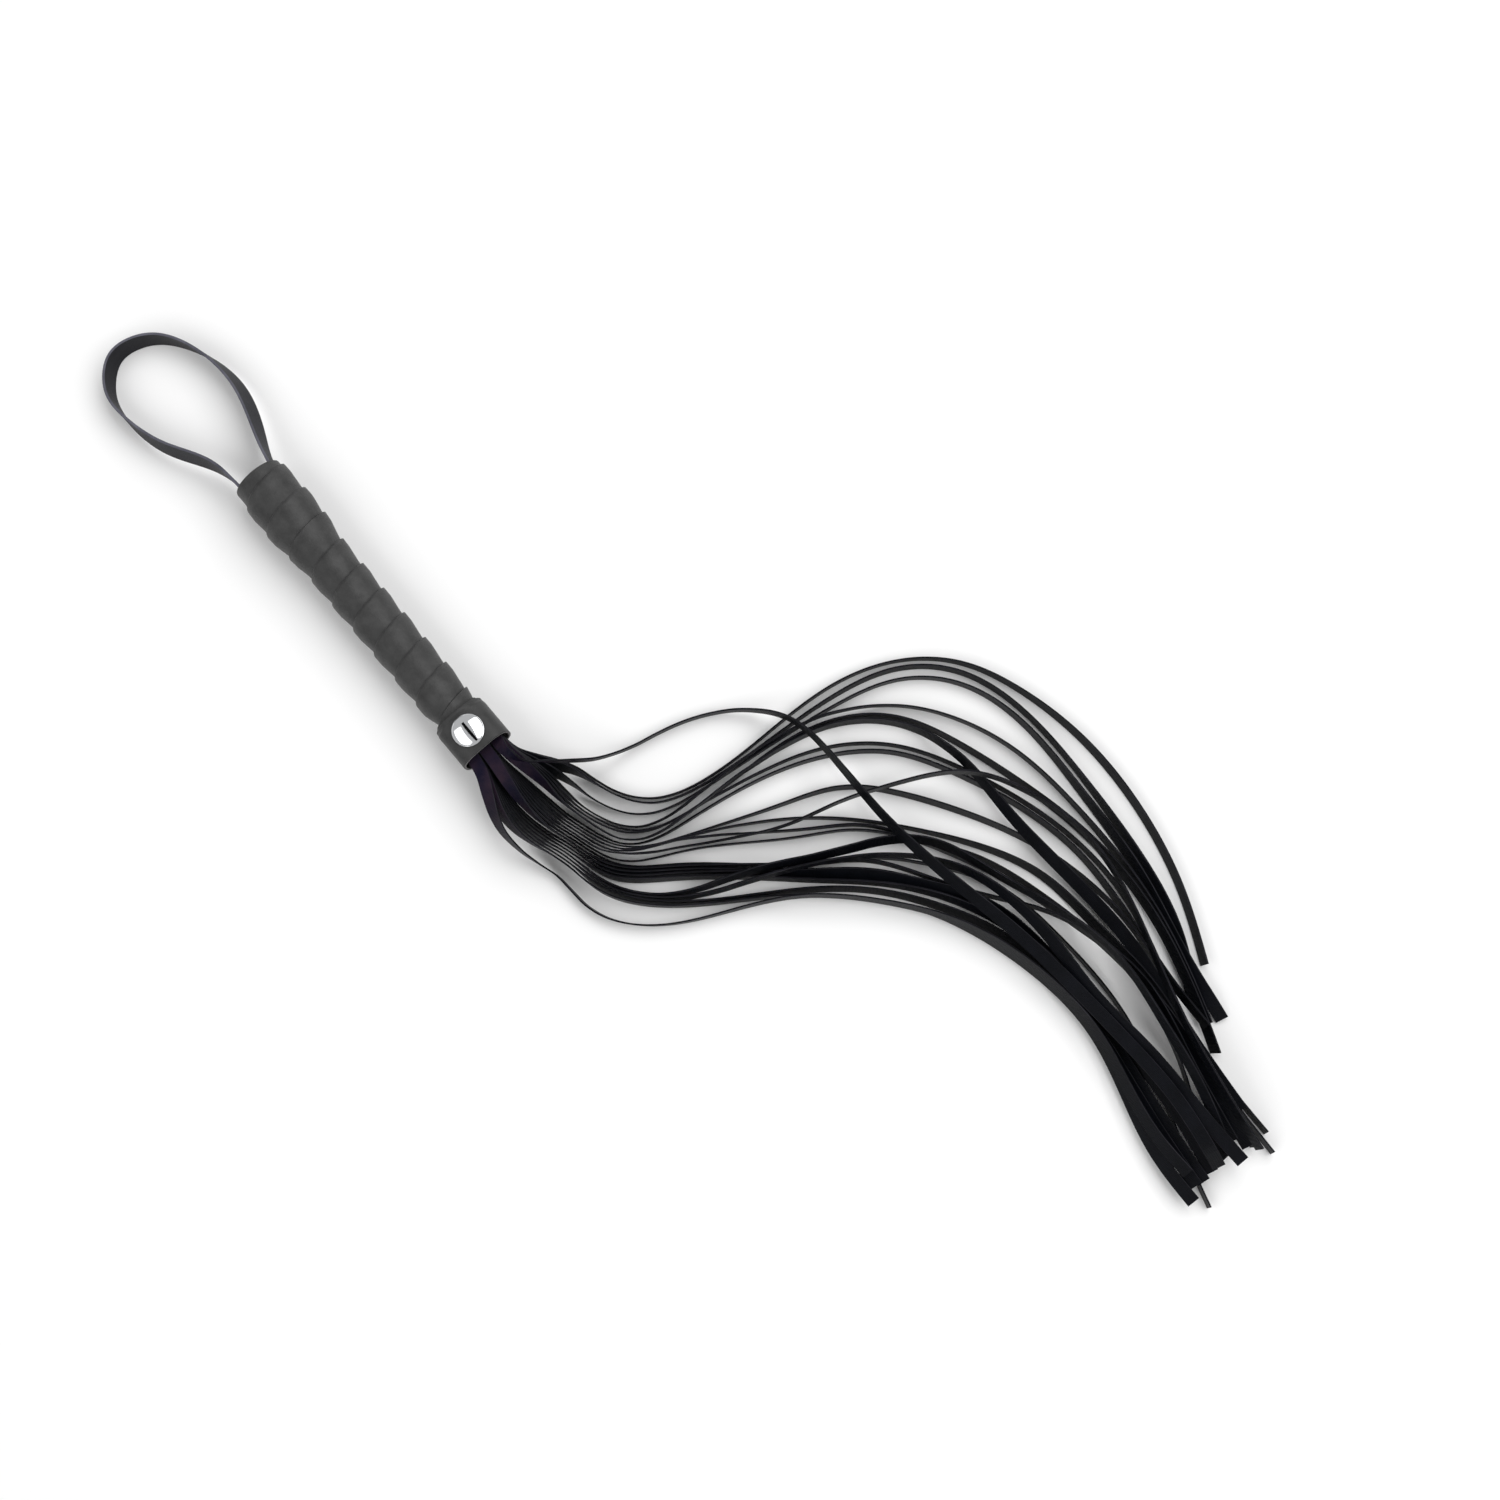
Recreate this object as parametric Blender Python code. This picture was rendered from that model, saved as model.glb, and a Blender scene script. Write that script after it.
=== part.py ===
"""Multi-tail riding crop (flogger type), lying at rest on the plane z = 0.

The handle lies along X, butt towards -X. It is built about the centre of the cuff's mouth (x = 0, y = 0),
and the whole part is moved at the end, so that the handle and its wrist loop are centred on the origin.
A turned core carries a helical wrap, a wrist strap, a cuff with one through rivet, and a slit sheet of
leather that is folded into the cuff's mouth and ends in 24 flat falls.
"""

import math

import bmesh
import bpy
import numpy as np
from mathutils import Matrix

MM = 0.001

# Fits
GAP = 0.3 * MM  # between pieces that touch
FALL_GAP = 0.45 * MM  # between falls in the stack at the cuff's mouth

# Handle and its core
HANDLE_LENGTH = 184.5 * MM  # butt to cuff mouth
BUTT_RADIUS = 11.9 * MM
POMMEL_RADIUS = 12.7 * MM
POMMEL_AT = 27.0 * MM  # from the butt
WAIST_RADIUS = 10.2 * MM
WAIST_AT = 60.0 * MM  # from the butt
SHAFT_RADIUS = 10.0 * MM  # short of the cuff
NECK_TAPER = 11.5 * MM  # length in which the shaft narrows, short of the cuff
NECK_RADIUS = 8.4 * MM  # where the core goes into the cuff
ROUND_SEGMENTS = 16

# Wrap: one strip wound from the butt to the cuff, each turn's butt edge on top of the turn before
WRAP_THICKNESS = 1.1 * MM
WRAP_PITCH = 16.6 * MM
WRAP_OVERLAP = 5.4 * MM
WRAP_SLOPE = 10.6 * MM  # length in which a turn comes down from its neighbour to the core
WRAP_SHORTEST = 2.5 * MM  # strip left where the wrap begins and ends
WRAP_LEAST = 0.1 * MM  # between two corners of a trimmed section
WRAP_START = 0.4  # share of the overlap in which the first turn climbs on itself
WRAP_START_ANGLE = math.radians(200)

# Cuff: round at its butt end, flattened from there to the mouth
CUFF_LENGTH = 23.0 * MM
CUFF_THICKNESS = 1.4 * MM
CUFF_SIDE_ROOM = 2.3 * MM  # from the stack of falls to the cuff's inner face, at the side
CUFF_TOP_ROOM = 6.2 * MM  # the same, above and below
CUFF_SQUARENESS = 3.0  # exponent of the flattened section
CUFF_ROUND_LENGTH = 1.2 * MM
CUFF_MORPH_LENGTH = 2.2 * MM
CUFF_SEAM = 0.6 * MM  # between the strip's two butted ends, underneath
CUFF_SEGMENTS = 40
LINER_THICKNESS = 0.8 * MM
LINER_PEEP = 1.5 * MM  # how far the liner shows beyond the cuff
LINER_LENGTH = 4.0 * MM
WRAP_GRIP = 1.5 * MM  # length of the wrap inside the cuff
CORE_GRIP = 5.5 * MM  # length of the core inside the cuff

# Rivet
RIVET_FROM_MOUTH = 11.5 * MM
DOME_DIAMETER = 16.4 * MM
DOME_HEIGHT = 3.0 * MM
DOME_RIM = 0.6 * MM
DOME_RINGS = 6
DOME_FLAT = 0.06  # share of the dome's radius that is flat at its top
POST_DIAMETER = 3.6 * MM
BACK_DIAMETER = 12.0 * MM
BACK_THICKNESS = 1.2 * MM

# Falls: one slit sheet, folded in rows of three
FALL_THICKNESS = 0.85 * MM
FALL_WIDTH = 6.6 * MM
FALL_COLUMNS = 3
COLUMN_GAP = 0.7 * MM
FALL_ROWS = 8
BAND_CLEARANCE = 1.0 * MM  # from the band to the core's end
ROOT_GAP = 1.0 * MM  # between the band and the falls, each its own piece
BAND_RECESS = 2.7 * MM  # from the mouth to where the slits begin
BAND_LENGTH = CUFF_LENGTH - CORE_GRIP - BAND_RECESS - BAND_CLEARANCE
FALL_STATIONS = 44
BUNDLE_LENGTH = 58.0 * MM  # from the mouth, in which each column turns on edge and comes down
BUNDLE_ROLL = 89.0  # degrees, at the end of that length
BUNDLE_STEPS = 7
BUNDLE_TURN = math.radians(20)  # how far the bundle has turned towards +Y at its end
BUNDLE_LOOSENING = 0.12  # by which the falls' pitch has grown at its end
BUNDLE_SHIFT = 2.0 * MM  # how far the bundle has wandered towards +Y at its end
LANE_GAPS = {1: 5.7 * MM, 2: 4.5 * MM, 21: 6.0 * MM}  # room added after these lanes at the bundle's end
TWIST_LENGTH = 18.0 * MM  # length in which a fall comes to its own roll beyond the bundle
LIFT_OFF = 0.15 * MM  # least height above the table
DRAPE_CELL = 0.1 * MM
DRAPE_GAP = 0.4 * MM
DRAPE_PASSES = 2  # smoothing passes over a fall's heights

# Wrist strap
STRAP_WIDTH = 13.5 * MM
STRAP_THICKNESS = 1.4 * MM
TAB_WIDTH = 11.5 * MM  # the strap is trimmed where it goes into the handle
TAB_DEPTH = 0.12 * MM  # a tab's outer corners under the core's round
TAB_TAPER = 16.0 * MM  # length in which it comes to its full width
TAB_LENGTH = 38.0 * MM
TACK_FROM_BUTT = 30.0 * MM
TACK_SHANK_RADIUS = 0.6 * MM
TACK_HEAD_RADIUS = 2.2 * MM
TACK_HEAD_THICKNESS = 0.6 * MM
TACK_LENGTH = 7.0 * MM
TACK_POINT_LENGTH = 1.5 * MM
TACK_POINT = 0.4  # its tip's radius, as a share of the shank's
DISC_THICKNESS = 2.2 * MM
DISC_INSET = 0.8 * MM

# Derived
STACK_HALF_WIDTH = (FALL_COLUMNS * (FALL_WIDTH + COLUMN_GAP) - COLUMN_GAP) / 2
STACK_HALF_HEIGHT = (FALL_ROWS * (FALL_THICKNESS + FALL_GAP) - FALL_GAP) / 2
CUFF_HALF_WIDTH = STACK_HALF_WIDTH + CUFF_SIDE_ROOM + CUFF_THICKNESS  # outside, at the mouth
CUFF_HALF_HEIGHT = STACK_HALF_HEIGHT + CUFF_TOP_ROOM + CUFF_THICKNESS
WRAPPED_NECK = NECK_RADIUS + 2 * (GAP + WRAP_THICKNESS)
CUFF_RADIUS = WRAPPED_NECK + GAP + LINER_THICKNESS + GAP + CUFF_THICKNESS  # outside, at the butt end
SHAFT_AT = HANDLE_LENGTH - CUFF_LENGTH - NECK_TAPER
TAB_ROUND = min(BUTT_RADIUS, POMMEL_RADIUS)
STRAP_SEAT = math.sqrt(TAB_ROUND**2 - (TAB_WIDTH / 2) ** 2) - TAB_DEPTH - STRAP_THICKNESS
AXIS_Z = POMMEL_RADIUS + GAP + 2 * WRAP_THICKNESS + GAP
BUTT_X = -HANDLE_LENGTH
CUFF_X = -CUFF_LENGTH

# The wrist loop's middle line from one exit to the other, in mm from the butt's centre: x, y, height of
# its middle, and lean of its upper edge outwards in degrees
LOOP_ROUTE = [
    (-8, -10.3, 14.5, -3),
    (-19, -12.7, 12.8, -10),
    (-45.5, -26.2, 9.5, -15),
    (-70.5, -32.6, 7.6, -6),
    (-87, -31.3, 7.0, 4),
    (-95.5, -26, 6.95, 8),
    (-102, -16.4, 6.9, 9),
    (-101, -4.7, 6.9, 9),
    (-94.5, 6.2, 6.95, 8),
    (-84, 14, 7.0, 4),
    (-73, 18.7, 7.4, -2),
    (-45.5, 22.2, 9.7, -14),
    (-19, 15.2, 12.8, -10),
    (-8, 11.5, 14.5, -3),
]
LOOP_STATIONS = 40
LOOP_SIDE = 1  # the side of the route, seen along it, that the loop's outside is on

# Beyond the bundle the falls go round a bend on edge, in lanes: each line across the bend has its ends,
# outer and inner, in mm from the mouth's centre, and groups of lanes on it as (how many, where the first
# is, where the last is) in mm from its outer end
GATES = (
    ((69, 46), (90, -10), ((2, 0.6, 3.2), (1, 9.6, 9.6), (3, 16.7, 20.7), (12, 24.6, 44.2),
      (4, 47.6, 52.4), (1, 62.4, 62.4))),
    ((80, 76), (118, 5), ((2, 1.2, 4.0), (2, 7.0, 9.6), (4, 16.4, 22.6), (3, 32.6, 36.4), (2, 39.2, 41.2),
      (5, 47.6, 55.4), (4, 64.2, 69.8), (1, 80.0, 80.0))),
)

# Each fall, in the order in which they lie on one another: its column (0 is at +Y) and row (0 is the
# lowest) in the folded stack, its route beyond the bend in mm from the mouth's centre, and its roll in
# degrees at a quarter, a half and three quarters of its length and at its tip.
FALLS = [
    (0, 0, [(87, 155), (99, 184), (119, 205), (148, 218), (185, 225), (232, 223), (272, 213),
      (308, 197)], (93, 89, 62, 60)),
    (0, 1, [(91, 150), (101, 180), (121, 201), (153, 212), (199, 213), (248, 208), (289, 197),
      (316, 182)], (93, 81, 71, 20)),
    (0, 2, [(95, 147), (105, 176), (125, 197), (157, 208), (203, 208), (254, 203), (299, 192),
      (333, 186)], (93, 87, 60, 12)),
    (0, 3, [(98, 143), (114, 167), (138, 185), (170, 197), (210, 201), (256, 199), (294, 191),
      (330, 179)], (93, 89, 75, 35)),
    (0, 4, [(100, 140), (118, 163), (148, 178), (182, 188), (217, 195), (259, 196), (303, 187),
      (343, 173)], (93, 79, 58, 45)),
    (0, 5, [(110, 132), (129, 154), (156, 170), (187, 182), (223, 190), (263, 189), (327, 171),
      (387, 166)], (93, 83, 75, 74)),
    (1, 0, [(113, 129), (131, 151), (158, 167), (191, 180), (228, 187), (270, 184), (306, 179),
      (331, 178)], (93, 81, 71, 60)),
    (1, 1, [(115, 94), (127, 120), (148, 140), (173, 156), (201, 170), (235, 180), (273, 182),
      (334, 168), (396, 162)], (93, 71, 75, 76)),
    (0, 6, [(103, 141), (123, 163), (155, 174), (192, 174), (232, 176), (273, 177), (320, 170),
      (371, 164)], (93, 71, 12, 8)),
    (1, 2, [(127, 97), (147, 118), (169, 136), (194, 153), (223, 166), (264, 170), (298, 171),
      (348, 162), (388, 157)], (93, 81, 45, 70)),
    (1, 3, [(133, 96), (149, 117), (172, 133), (196, 148), (228, 159), (266, 166), (305, 168),
      (348, 162), (386, 155)], (93, 83, 60, 15)),
    (1, 4, [(125, 89), (133, 115), (145, 143), (161, 169), (186, 186), (219, 195), (261, 190),
      (310, 174), (390, 158)], (93, 81, 73, 62)),
    (1, 5, [(133, 90), (146, 110), (165, 127), (190, 141), (221, 154), (255, 163), (293, 169),
      (334, 161), (379, 151)], (93, 87, 64, 30)),
    (1, 6, [(149, 88), (166, 112), (188, 131), (215, 147), (250, 153), (293, 153), (332, 144),
      (367, 131), (396, 122)], (93, 85, 81, 78)),
    (1, 7, [(146, 84), (164, 107), (189, 124), (215, 140), (241, 157), (274, 166), (309, 164),
      (349, 151), (384, 134)], (80, 79, 79, 80)),
    (2, 0, [(149, 81), (168, 103), (192, 121), (221, 136), (256, 142), (291, 142), (327, 142),
      (359, 139), (384, 134)], (80, 40, 30, 10)),
    (2, 1, [(149, 80), (168, 102), (192, 121), (218, 137), (248, 143), (278, 143), (315, 138),
      (353, 132), (385, 128)], (80, 30, 35, 10)),
    (2, 2, [(155, 82), (175, 103), (199, 122), (228, 136), (262, 143), (297, 144), (330, 146),
      (360, 144), (383, 145)], (76, 77, 40, 10)),
    (2, 3, [(134, 66), (149, 93), (161, 118), (178, 137), (208, 149), (241, 160), (274, 167),
      (315, 163), (351, 156), (381, 146)], (76, 55, 75, 40)),
    (2, 4, [(140, 69), (154, 95), (173, 121), (195, 138), (223, 147), (252, 149), (287, 147),
      (322, 149), (360, 148), (389, 148)], (74, 83, 20, 8)),
    (2, 5, [(157, 78), (177, 100), (202, 118), (232, 132), (267, 138), (297, 137), (328, 132),
      (358, 127), (384, 124)], (72, 71, 40, 12)),
    (2, 6, [(151, 66), (173, 90), (197, 110), (226, 124), (260, 133), (296, 135), (328, 128),
      (359, 120), (389, 118)], (84, 83, 60, 12)),
    (2, 7, [(143, 50), (159, 75), (181, 97), (205, 115), (235, 129), (269, 136), (300, 136),
      (332, 129), (357, 125), (377, 125)], (93, 77, 60, 30)),
    (0, 7, [(16, 10), (26, 20), (39, 41), (48, 73), (64, 106), (86, 123), (119, 127), (157, 127),
      (193, 131), (233, 138), (273, 142), (310, 144), (346, 144), (384, 138)], (90, 52, 2, 5)),
]

MATERIALS = {
    # colour, roughness, metallic
    "wrap_leather": ((0.045, 0.045, 0.046), 0.62, 0.0),
    "cuff_leather": ((0.038, 0.038, 0.039), 0.55, 0.0),
    "fall_leather": ((0.012, 0.012, 0.016), 0.45, 0.0),
    "strap_leather": ((0.016, 0.016, 0.022), 0.50, 0.0),
    "chrome": ((0.85, 0.86, 0.88), 0.08, 1.0),
    "steel": ((0.55, 0.55, 0.56), 0.30, 1.0),
    "wood": ((0.45, 0.30, 0.17), 0.60, 0.0),
}


def material(name):
    found = bpy.data.materials.get(name)
    if found:
        return found
    colour, roughness, metallic = MATERIALS[name]
    made = bpy.data.materials.new(name)
    made.use_nodes = True
    shader = made.node_tree.nodes["Principled BSDF"]
    shader.inputs["Base Color"].default_value = (*colour, 1.0)
    shader.inputs["Roughness"].default_value = roughness
    shader.inputs["Metallic"].default_value = metallic
    made.diffuse_color = (*colour, 1.0)
    return made


def add_empty(name, location, parent=None):
    empty = bpy.data.objects.new(name, None)
    bpy.context.collection.objects.link(empty)
    empty.parent = parent
    empty.location = location
    return empty


def add_object(name, mesh, look, location=(0, 0, 0), parent="handle"):
    mesh.name = name
    obj = bpy.data.objects.new(name, mesh)
    bpy.context.collection.objects.link(obj)
    obj.parent = bpy.data.objects[parent]
    obj.location = location
    mesh.materials.append(material(look))
    return obj


def mesh_from(name, points, faces):
    mesh = bpy.data.meshes.new(name)
    mesh.from_pydata([tuple(p) for p in points], [], faces)
    bm = bmesh.new()
    bm.from_mesh(mesh)
    bmesh.ops.recalc_face_normals(bm, faces=bm.faces)
    bm.to_mesh(mesh)
    bm.free()
    return mesh


def loft(name, rings, close=False):
    """A skin through rings of the same number of points, capped at its two ends unless it is closed."""
    count = len(rings[0])
    points = [p for ring in rings for p in ring]
    faces = []
    spans = len(rings) if close else len(rings) - 1
    for i in range(spans):
        a, b = i * count, (i + 1) % len(rings) * count
        for j in range(count):
            k = (j + 1) % count
            faces.append((a + j, a + k, b + k, b + j))
    if not close:
        faces.append(tuple(range(count)))
        faces.append(tuple(range(len(points) - count, len(points))))
    return mesh_from(name, points, faces)


def turned(name, profile, segments=ROUND_SEGMENTS):
    """A solid of revolution about X, from (x, radius) pairs."""
    rings = [
        [
            (x, r * math.sin(2 * math.pi * k / segments), r * math.cos(2 * math.pi * k / segments))
            for k in range(segments)
        ]
        for x, r in profile
    ]
    return loft(name, rings)


def turned_about_z(name, profile, segments=32):
    rings = [
        [
            (r * math.cos(2 * math.pi * k / segments), r * math.sin(2 * math.pi * k / segments), z)
            for k in range(segments)
        ]
        for z, r in profile
    ]
    return loft(name, rings)


def box(name, low, high):
    lx, ly, lz = low
    hx, hy, hz = high
    rings = [[(x, ly, lz), (x, hy, lz), (x, hy, hz), (x, ly, hz)] for x in (lx, hx)]
    return loft(name, rings)


def cut(obj, mesh, location=(0, 0, 0)):
    """Cuts the mesh's shape out of the object."""
    cutter = bpy.data.objects.new("cutter_" + mesh.name, mesh)
    bpy.context.collection.objects.link(cutter)
    cutter.parent = obj.parent
    cutter.location = location
    cutter.hide_render = True
    cutter.display_type = "WIRE"
    modifier = obj.modifiers.new("cut", "BOOLEAN")
    modifier.operation = "DIFFERENCE"
    modifier.solver = "EXACT"
    modifier.object = cutter


def smooth_step(t):
    t = np.clip(t, 0.0, 1.0)
    return t * t * (3 - 2 * t)


def spline(points, count):
    """Samples of the natural cubic curve through the points, evenly spaced in plan."""
    points = np.asarray(points, float)
    steps = np.linalg.norm(np.diff(points[:, :2], axis=0), axis=1)
    knots = np.concatenate([[0], np.cumsum(steps)])
    size = len(points)
    system = np.eye(size)
    right = np.zeros_like(points)
    for i in range(1, size - 1):
        system[i, i - 1 : i + 2] = steps[i - 1], 2 * (steps[i - 1] + steps[i]), steps[i]
        slopes = (points[i + 1] - points[i]) / steps[i] - (points[i] - points[i - 1]) / steps[i - 1]
        right[i] = 6 * slopes
    bend = np.linalg.solve(system, right)

    def at(u):
        i = np.clip(np.searchsorted(knots, u, side="right") - 1, 0, size - 2)
        h = steps[i][:, None]
        a = (knots[i + 1][:, None] - u[:, None]) / h
        b = 1 - a
        cubic = ((a**3 - a) * bend[i] + (b**3 - b) * bend[i + 1]) * h**2 / 6
        return a * points[i] + b * points[i + 1] + cubic

    fine = at(np.linspace(0, knots[-1], 40 * size))
    along = np.concatenate([[0], np.cumsum(np.linalg.norm(np.diff(fine[:, :2], axis=0), axis=1))])
    even = np.linspace(0, along[-1], count)
    return np.stack([np.interp(even, along, fine[:, k]) for k in range(points.shape[1])], axis=1)


def base_radius(distance):
    """The radius that the wrap lies on, at a distance from the butt."""
    stations = [0, POMMEL_AT, WAIST_AT, SHAFT_AT, HANDLE_LENGTH - CUFF_LENGTH, HANDLE_LENGTH]
    radii = [BUTT_RADIUS, POMMEL_RADIUS, WAIST_RADIUS, SHAFT_RADIUS, NECK_RADIUS, NECK_RADIUS]
    i = min(max(int(np.searchsorted(stations, distance)) - 1, 0), len(stations) - 2)
    t = (distance - stations[i]) / (stations[i + 1] - stations[i])
    return float(radii[i] + (radii[i + 1] - radii[i]) * smooth_step(t)) + GAP


def cut_seats(obj, start, end):
    """Cuts the flats on both sides that the strap's tabs lie on."""
    half = TAB_WIDTH / 2 + GAP
    for side in (-1, 1):
        mesh = box("seat", (start, STRAP_SEAT - GAP, -half), (end, POMMEL_RADIUS * 2, half))
        if side < 0:
            mesh.transform(Matrix.Rotation(math.pi, 4, "X"))
        cut(obj, mesh, (0, 0, AXIS_Z))


def make_core():
    start = DISC_INSET + DISC_THICKNESS + GAP
    end = HANDLE_LENGTH - CUFF_LENGTH + CORE_GRIP
    steps = 24
    profile = []
    for k in range(steps + 1):
        s = start + (end - start) * k / steps
        profile.append((BUTT_X + s, base_radius(s) - GAP))
    core = add_object("handle_core", turned("handle_core", profile), "wood", (0, 0, AXIS_Z))
    cut_seats(core, BUTT_X - GAP, BUTT_X + TAB_LENGTH + GAP)
    radius = TACK_SHANK_RADIUS + GAP
    reach = POMMEL_RADIUS * 2
    bore = turned_about_z("tack_bore", [(-reach, radius), (reach, radius)], 12)
    bore.transform(Matrix.Rotation(math.pi / 2, 4, "X"))
    cut(core, bore, (BUTT_X + TACK_FROM_BUTT, 0, AXIS_Z))


def make_butt_disc():
    start = BUTT_X + DISC_INSET
    mesh = turned("butt_disc", [(start, BUTT_RADIUS), (start + DISC_THICKNESS, BUTT_RADIUS)])
    disc = add_object("butt_disc", mesh, "cuff_leather", (0, 0, AXIS_Z))
    cut_seats(disc, start - GAP, start + DISC_THICKNESS + GAP)


def make_tabs():
    """The strap's two ends along the core, each with its tack; a tack's head sinks into the tab."""
    outer = STRAP_SEAT + STRAP_THICKNESS
    head_seat = STRAP_SEAT + STRAP_THICKNESS - TACK_HEAD_THICKNESS - GAP
    for side, word in ((1, "left"), (-1, "right")):
        turn = Matrix.Rotation(0 if side > 0 else math.pi, 4, "X")
        half = TAB_WIDTH / 2
        mesh = box("tab", (BUTT_X, STRAP_SEAT, -half), (BUTT_X + TAB_LENGTH, outer, half))
        mesh.transform(turn)
        tab = add_object(f"loop_tab_{word}", mesh, "strap_leather", (0, 0, AXIS_Z))
        radius = TACK_SHANK_RADIUS
        head = TACK_HEAD_RADIUS
        top = outer - GAP
        pocket = [
            (STRAP_SEAT - GAP * 2, radius + GAP),
            (head_seat, radius + GAP),
            (head_seat, head + GAP),
            (outer + GAP, head + GAP),
        ]
        tack = [
            (STRAP_SEAT - TACK_LENGTH, radius * TACK_POINT),
            (STRAP_SEAT - TACK_LENGTH + TACK_POINT_LENGTH, radius),
            (top - TACK_HEAD_THICKNESS + GAP, radius),
            (top - TACK_HEAD_THICKNESS + GAP, head),
            (top, head),
        ]
        meshes = [turned_about_z("pocket", pocket, 16), turned_about_z("tack", tack, 16)]
        for mesh in meshes:
            mesh.transform(turn @ Matrix.Rotation(-math.pi / 2, 4, "X"))
        place = (BUTT_X + TACK_FROM_BUTT, 0, AXIS_Z)
        cut(tab, meshes[0], place)
        add_object(f"loop_tack_{word}", meshes[1], "steel", place)


def wrap_section(x, angle):
    """The wrap's section at one angle: x is where this turn's butt edge would be, from the butt."""
    width = WRAP_PITCH + WRAP_OVERLAP
    last = HANDLE_LENGTH - CUFF_LENGTH + WRAP_GRIP
    first_u = max(0.0, -x)
    last_u = min(width, last - x)
    marks = [0.0, WRAP_OVERLAP, WRAP_OVERLAP + WRAP_SLOPE, WRAP_PITCH, width]
    marks = [min(max(u, first_u), last_u) for u in marks]
    # A trimmed section keeps its corners a little apart.
    for i in range(1, len(marks)):
        marks[i] = max(marks[i], marks[i - 1] + WRAP_LEAST)
    for i in range(1, len(marks)):
        marks[i] = min(marks[i], last_u - WRAP_LEAST * (len(marks) - 1 - i))
    begun = float(np.clip((x + WRAP_OVERLAP) / (WRAP_OVERLAP * WRAP_START), 0, 1))
    inner, outer = [], []
    for u in marks:
        down = float(np.clip((u - WRAP_OVERLAP) / WRAP_SLOPE, 0, 1))
        radius = base_radius(x + u) + (1 - down) * (WRAP_THICKNESS + GAP) * begun
        inner.append((x + u, radius))
        outer.append((x + u, radius + WRAP_THICKNESS))
    ring = inner + outer[::-1]
    return [(BUTT_X + s, -r * math.sin(angle), r * math.cos(angle)) for s, r in ring]


def make_wrap():
    """The strap's section swept along a helix, trimmed square at the butt and inside the cuff."""
    width = WRAP_PITCH + WRAP_OVERLAP
    last = HANDLE_LENGTH - CUFF_LENGTH + WRAP_GRIP
    first = math.ceil((WRAP_SHORTEST - width) / WRAP_PITCH * ROUND_SEGMENTS)
    final = math.floor((last - WRAP_SHORTEST) / WRAP_PITCH * ROUND_SEGMENTS)
    rings = []
    for k in range(first, final + 1):
        x = WRAP_PITCH * k / ROUND_SEGMENTS
        rings.append(wrap_section(x, WRAP_START_ANGLE + 2 * math.pi * k / ROUND_SEGMENTS))
    add_object("grip_wrap", loft("grip_wrap", rings), "wrap_leather", (0, 0, AXIS_Z))


def cuff_point(angle, flat, thickness):
    """A point of the cuff's section by its angle from +Z; flat is 0 where it is round and 1 at the mouth."""
    sine, cosine = math.sin(angle), math.cos(angle)
    radius = CUFF_RADIUS - thickness
    half_width = CUFF_HALF_WIDTH - thickness
    half_height = CUFF_HALF_HEIGHT - thickness
    n = CUFF_SQUARENESS
    reach = (abs(sine / half_width) ** n + abs(cosine / half_height) ** n) ** (-1 / n)
    r = radius + (reach - radius) * flat
    return r * sine, r * cosine


def make_cuff():
    """A strip wound once round the handle's end, its two ends butted underneath."""
    gap_angle = CUFF_SEAM / CUFF_HALF_HEIGHT
    stations = [
        (-CUFF_LENGTH, 0),
        (-CUFF_LENGTH + CUFF_ROUND_LENGTH, 0),
        (-CUFF_LENGTH + CUFF_ROUND_LENGTH + CUFF_MORPH_LENGTH, 1),
        (0, 1),
    ]
    rings = []
    for k in range(CUFF_SEGMENTS + 1):
        angle = math.pi + gap_angle / 2 + (2 * math.pi - gap_angle) * k / CUFF_SEGMENTS
        ring = [(x, *cuff_point(angle, flat, 0)) for x, flat in stations]
        ring += [(x, *cuff_point(angle, flat, CUFF_THICKNESS)) for x, flat in stations[::-1]]
        rings.append(ring)
    cuff = add_object("cuff", loft("cuff", rings), "cuff_leather", (0, 0, AXIS_Z))
    cut(cuff, post_bore(), (-RIVET_FROM_MOUTH, 0, AXIS_Z))


def make_liner():
    """A thin ring between the wrap and the cuff, open underneath."""
    outer = CUFF_RADIUS - CUFF_THICKNESS - GAP
    inner = outer - LINER_THICKNESS
    start = -CUFF_LENGTH - LINER_PEEP
    gap_angle = CUFF_SEAM / outer
    segments = 32
    rings = []
    end = -CUFF_LENGTH + CUFF_ROUND_LENGTH - GAP
    for k in range(segments + 1):
        angle = math.pi + gap_angle / 2 + (2 * math.pi - gap_angle) * k / segments
        ring = [(start, outer), (end, outer), (end, inner), (start, inner)]
        rings.append([(x, r * math.sin(angle), r * math.cos(angle)) for x, r in ring])
    add_object("cuff_liner", loft("cuff_liner", rings), "cuff_leather", (0, 0, AXIS_Z))


def post_bore():
    radius = POST_DIAMETER / 2 + GAP
    reach = CUFF_RADIUS * 2
    return turned_about_z("post_bore", [(-reach, radius), (reach, radius)], 20)


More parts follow.
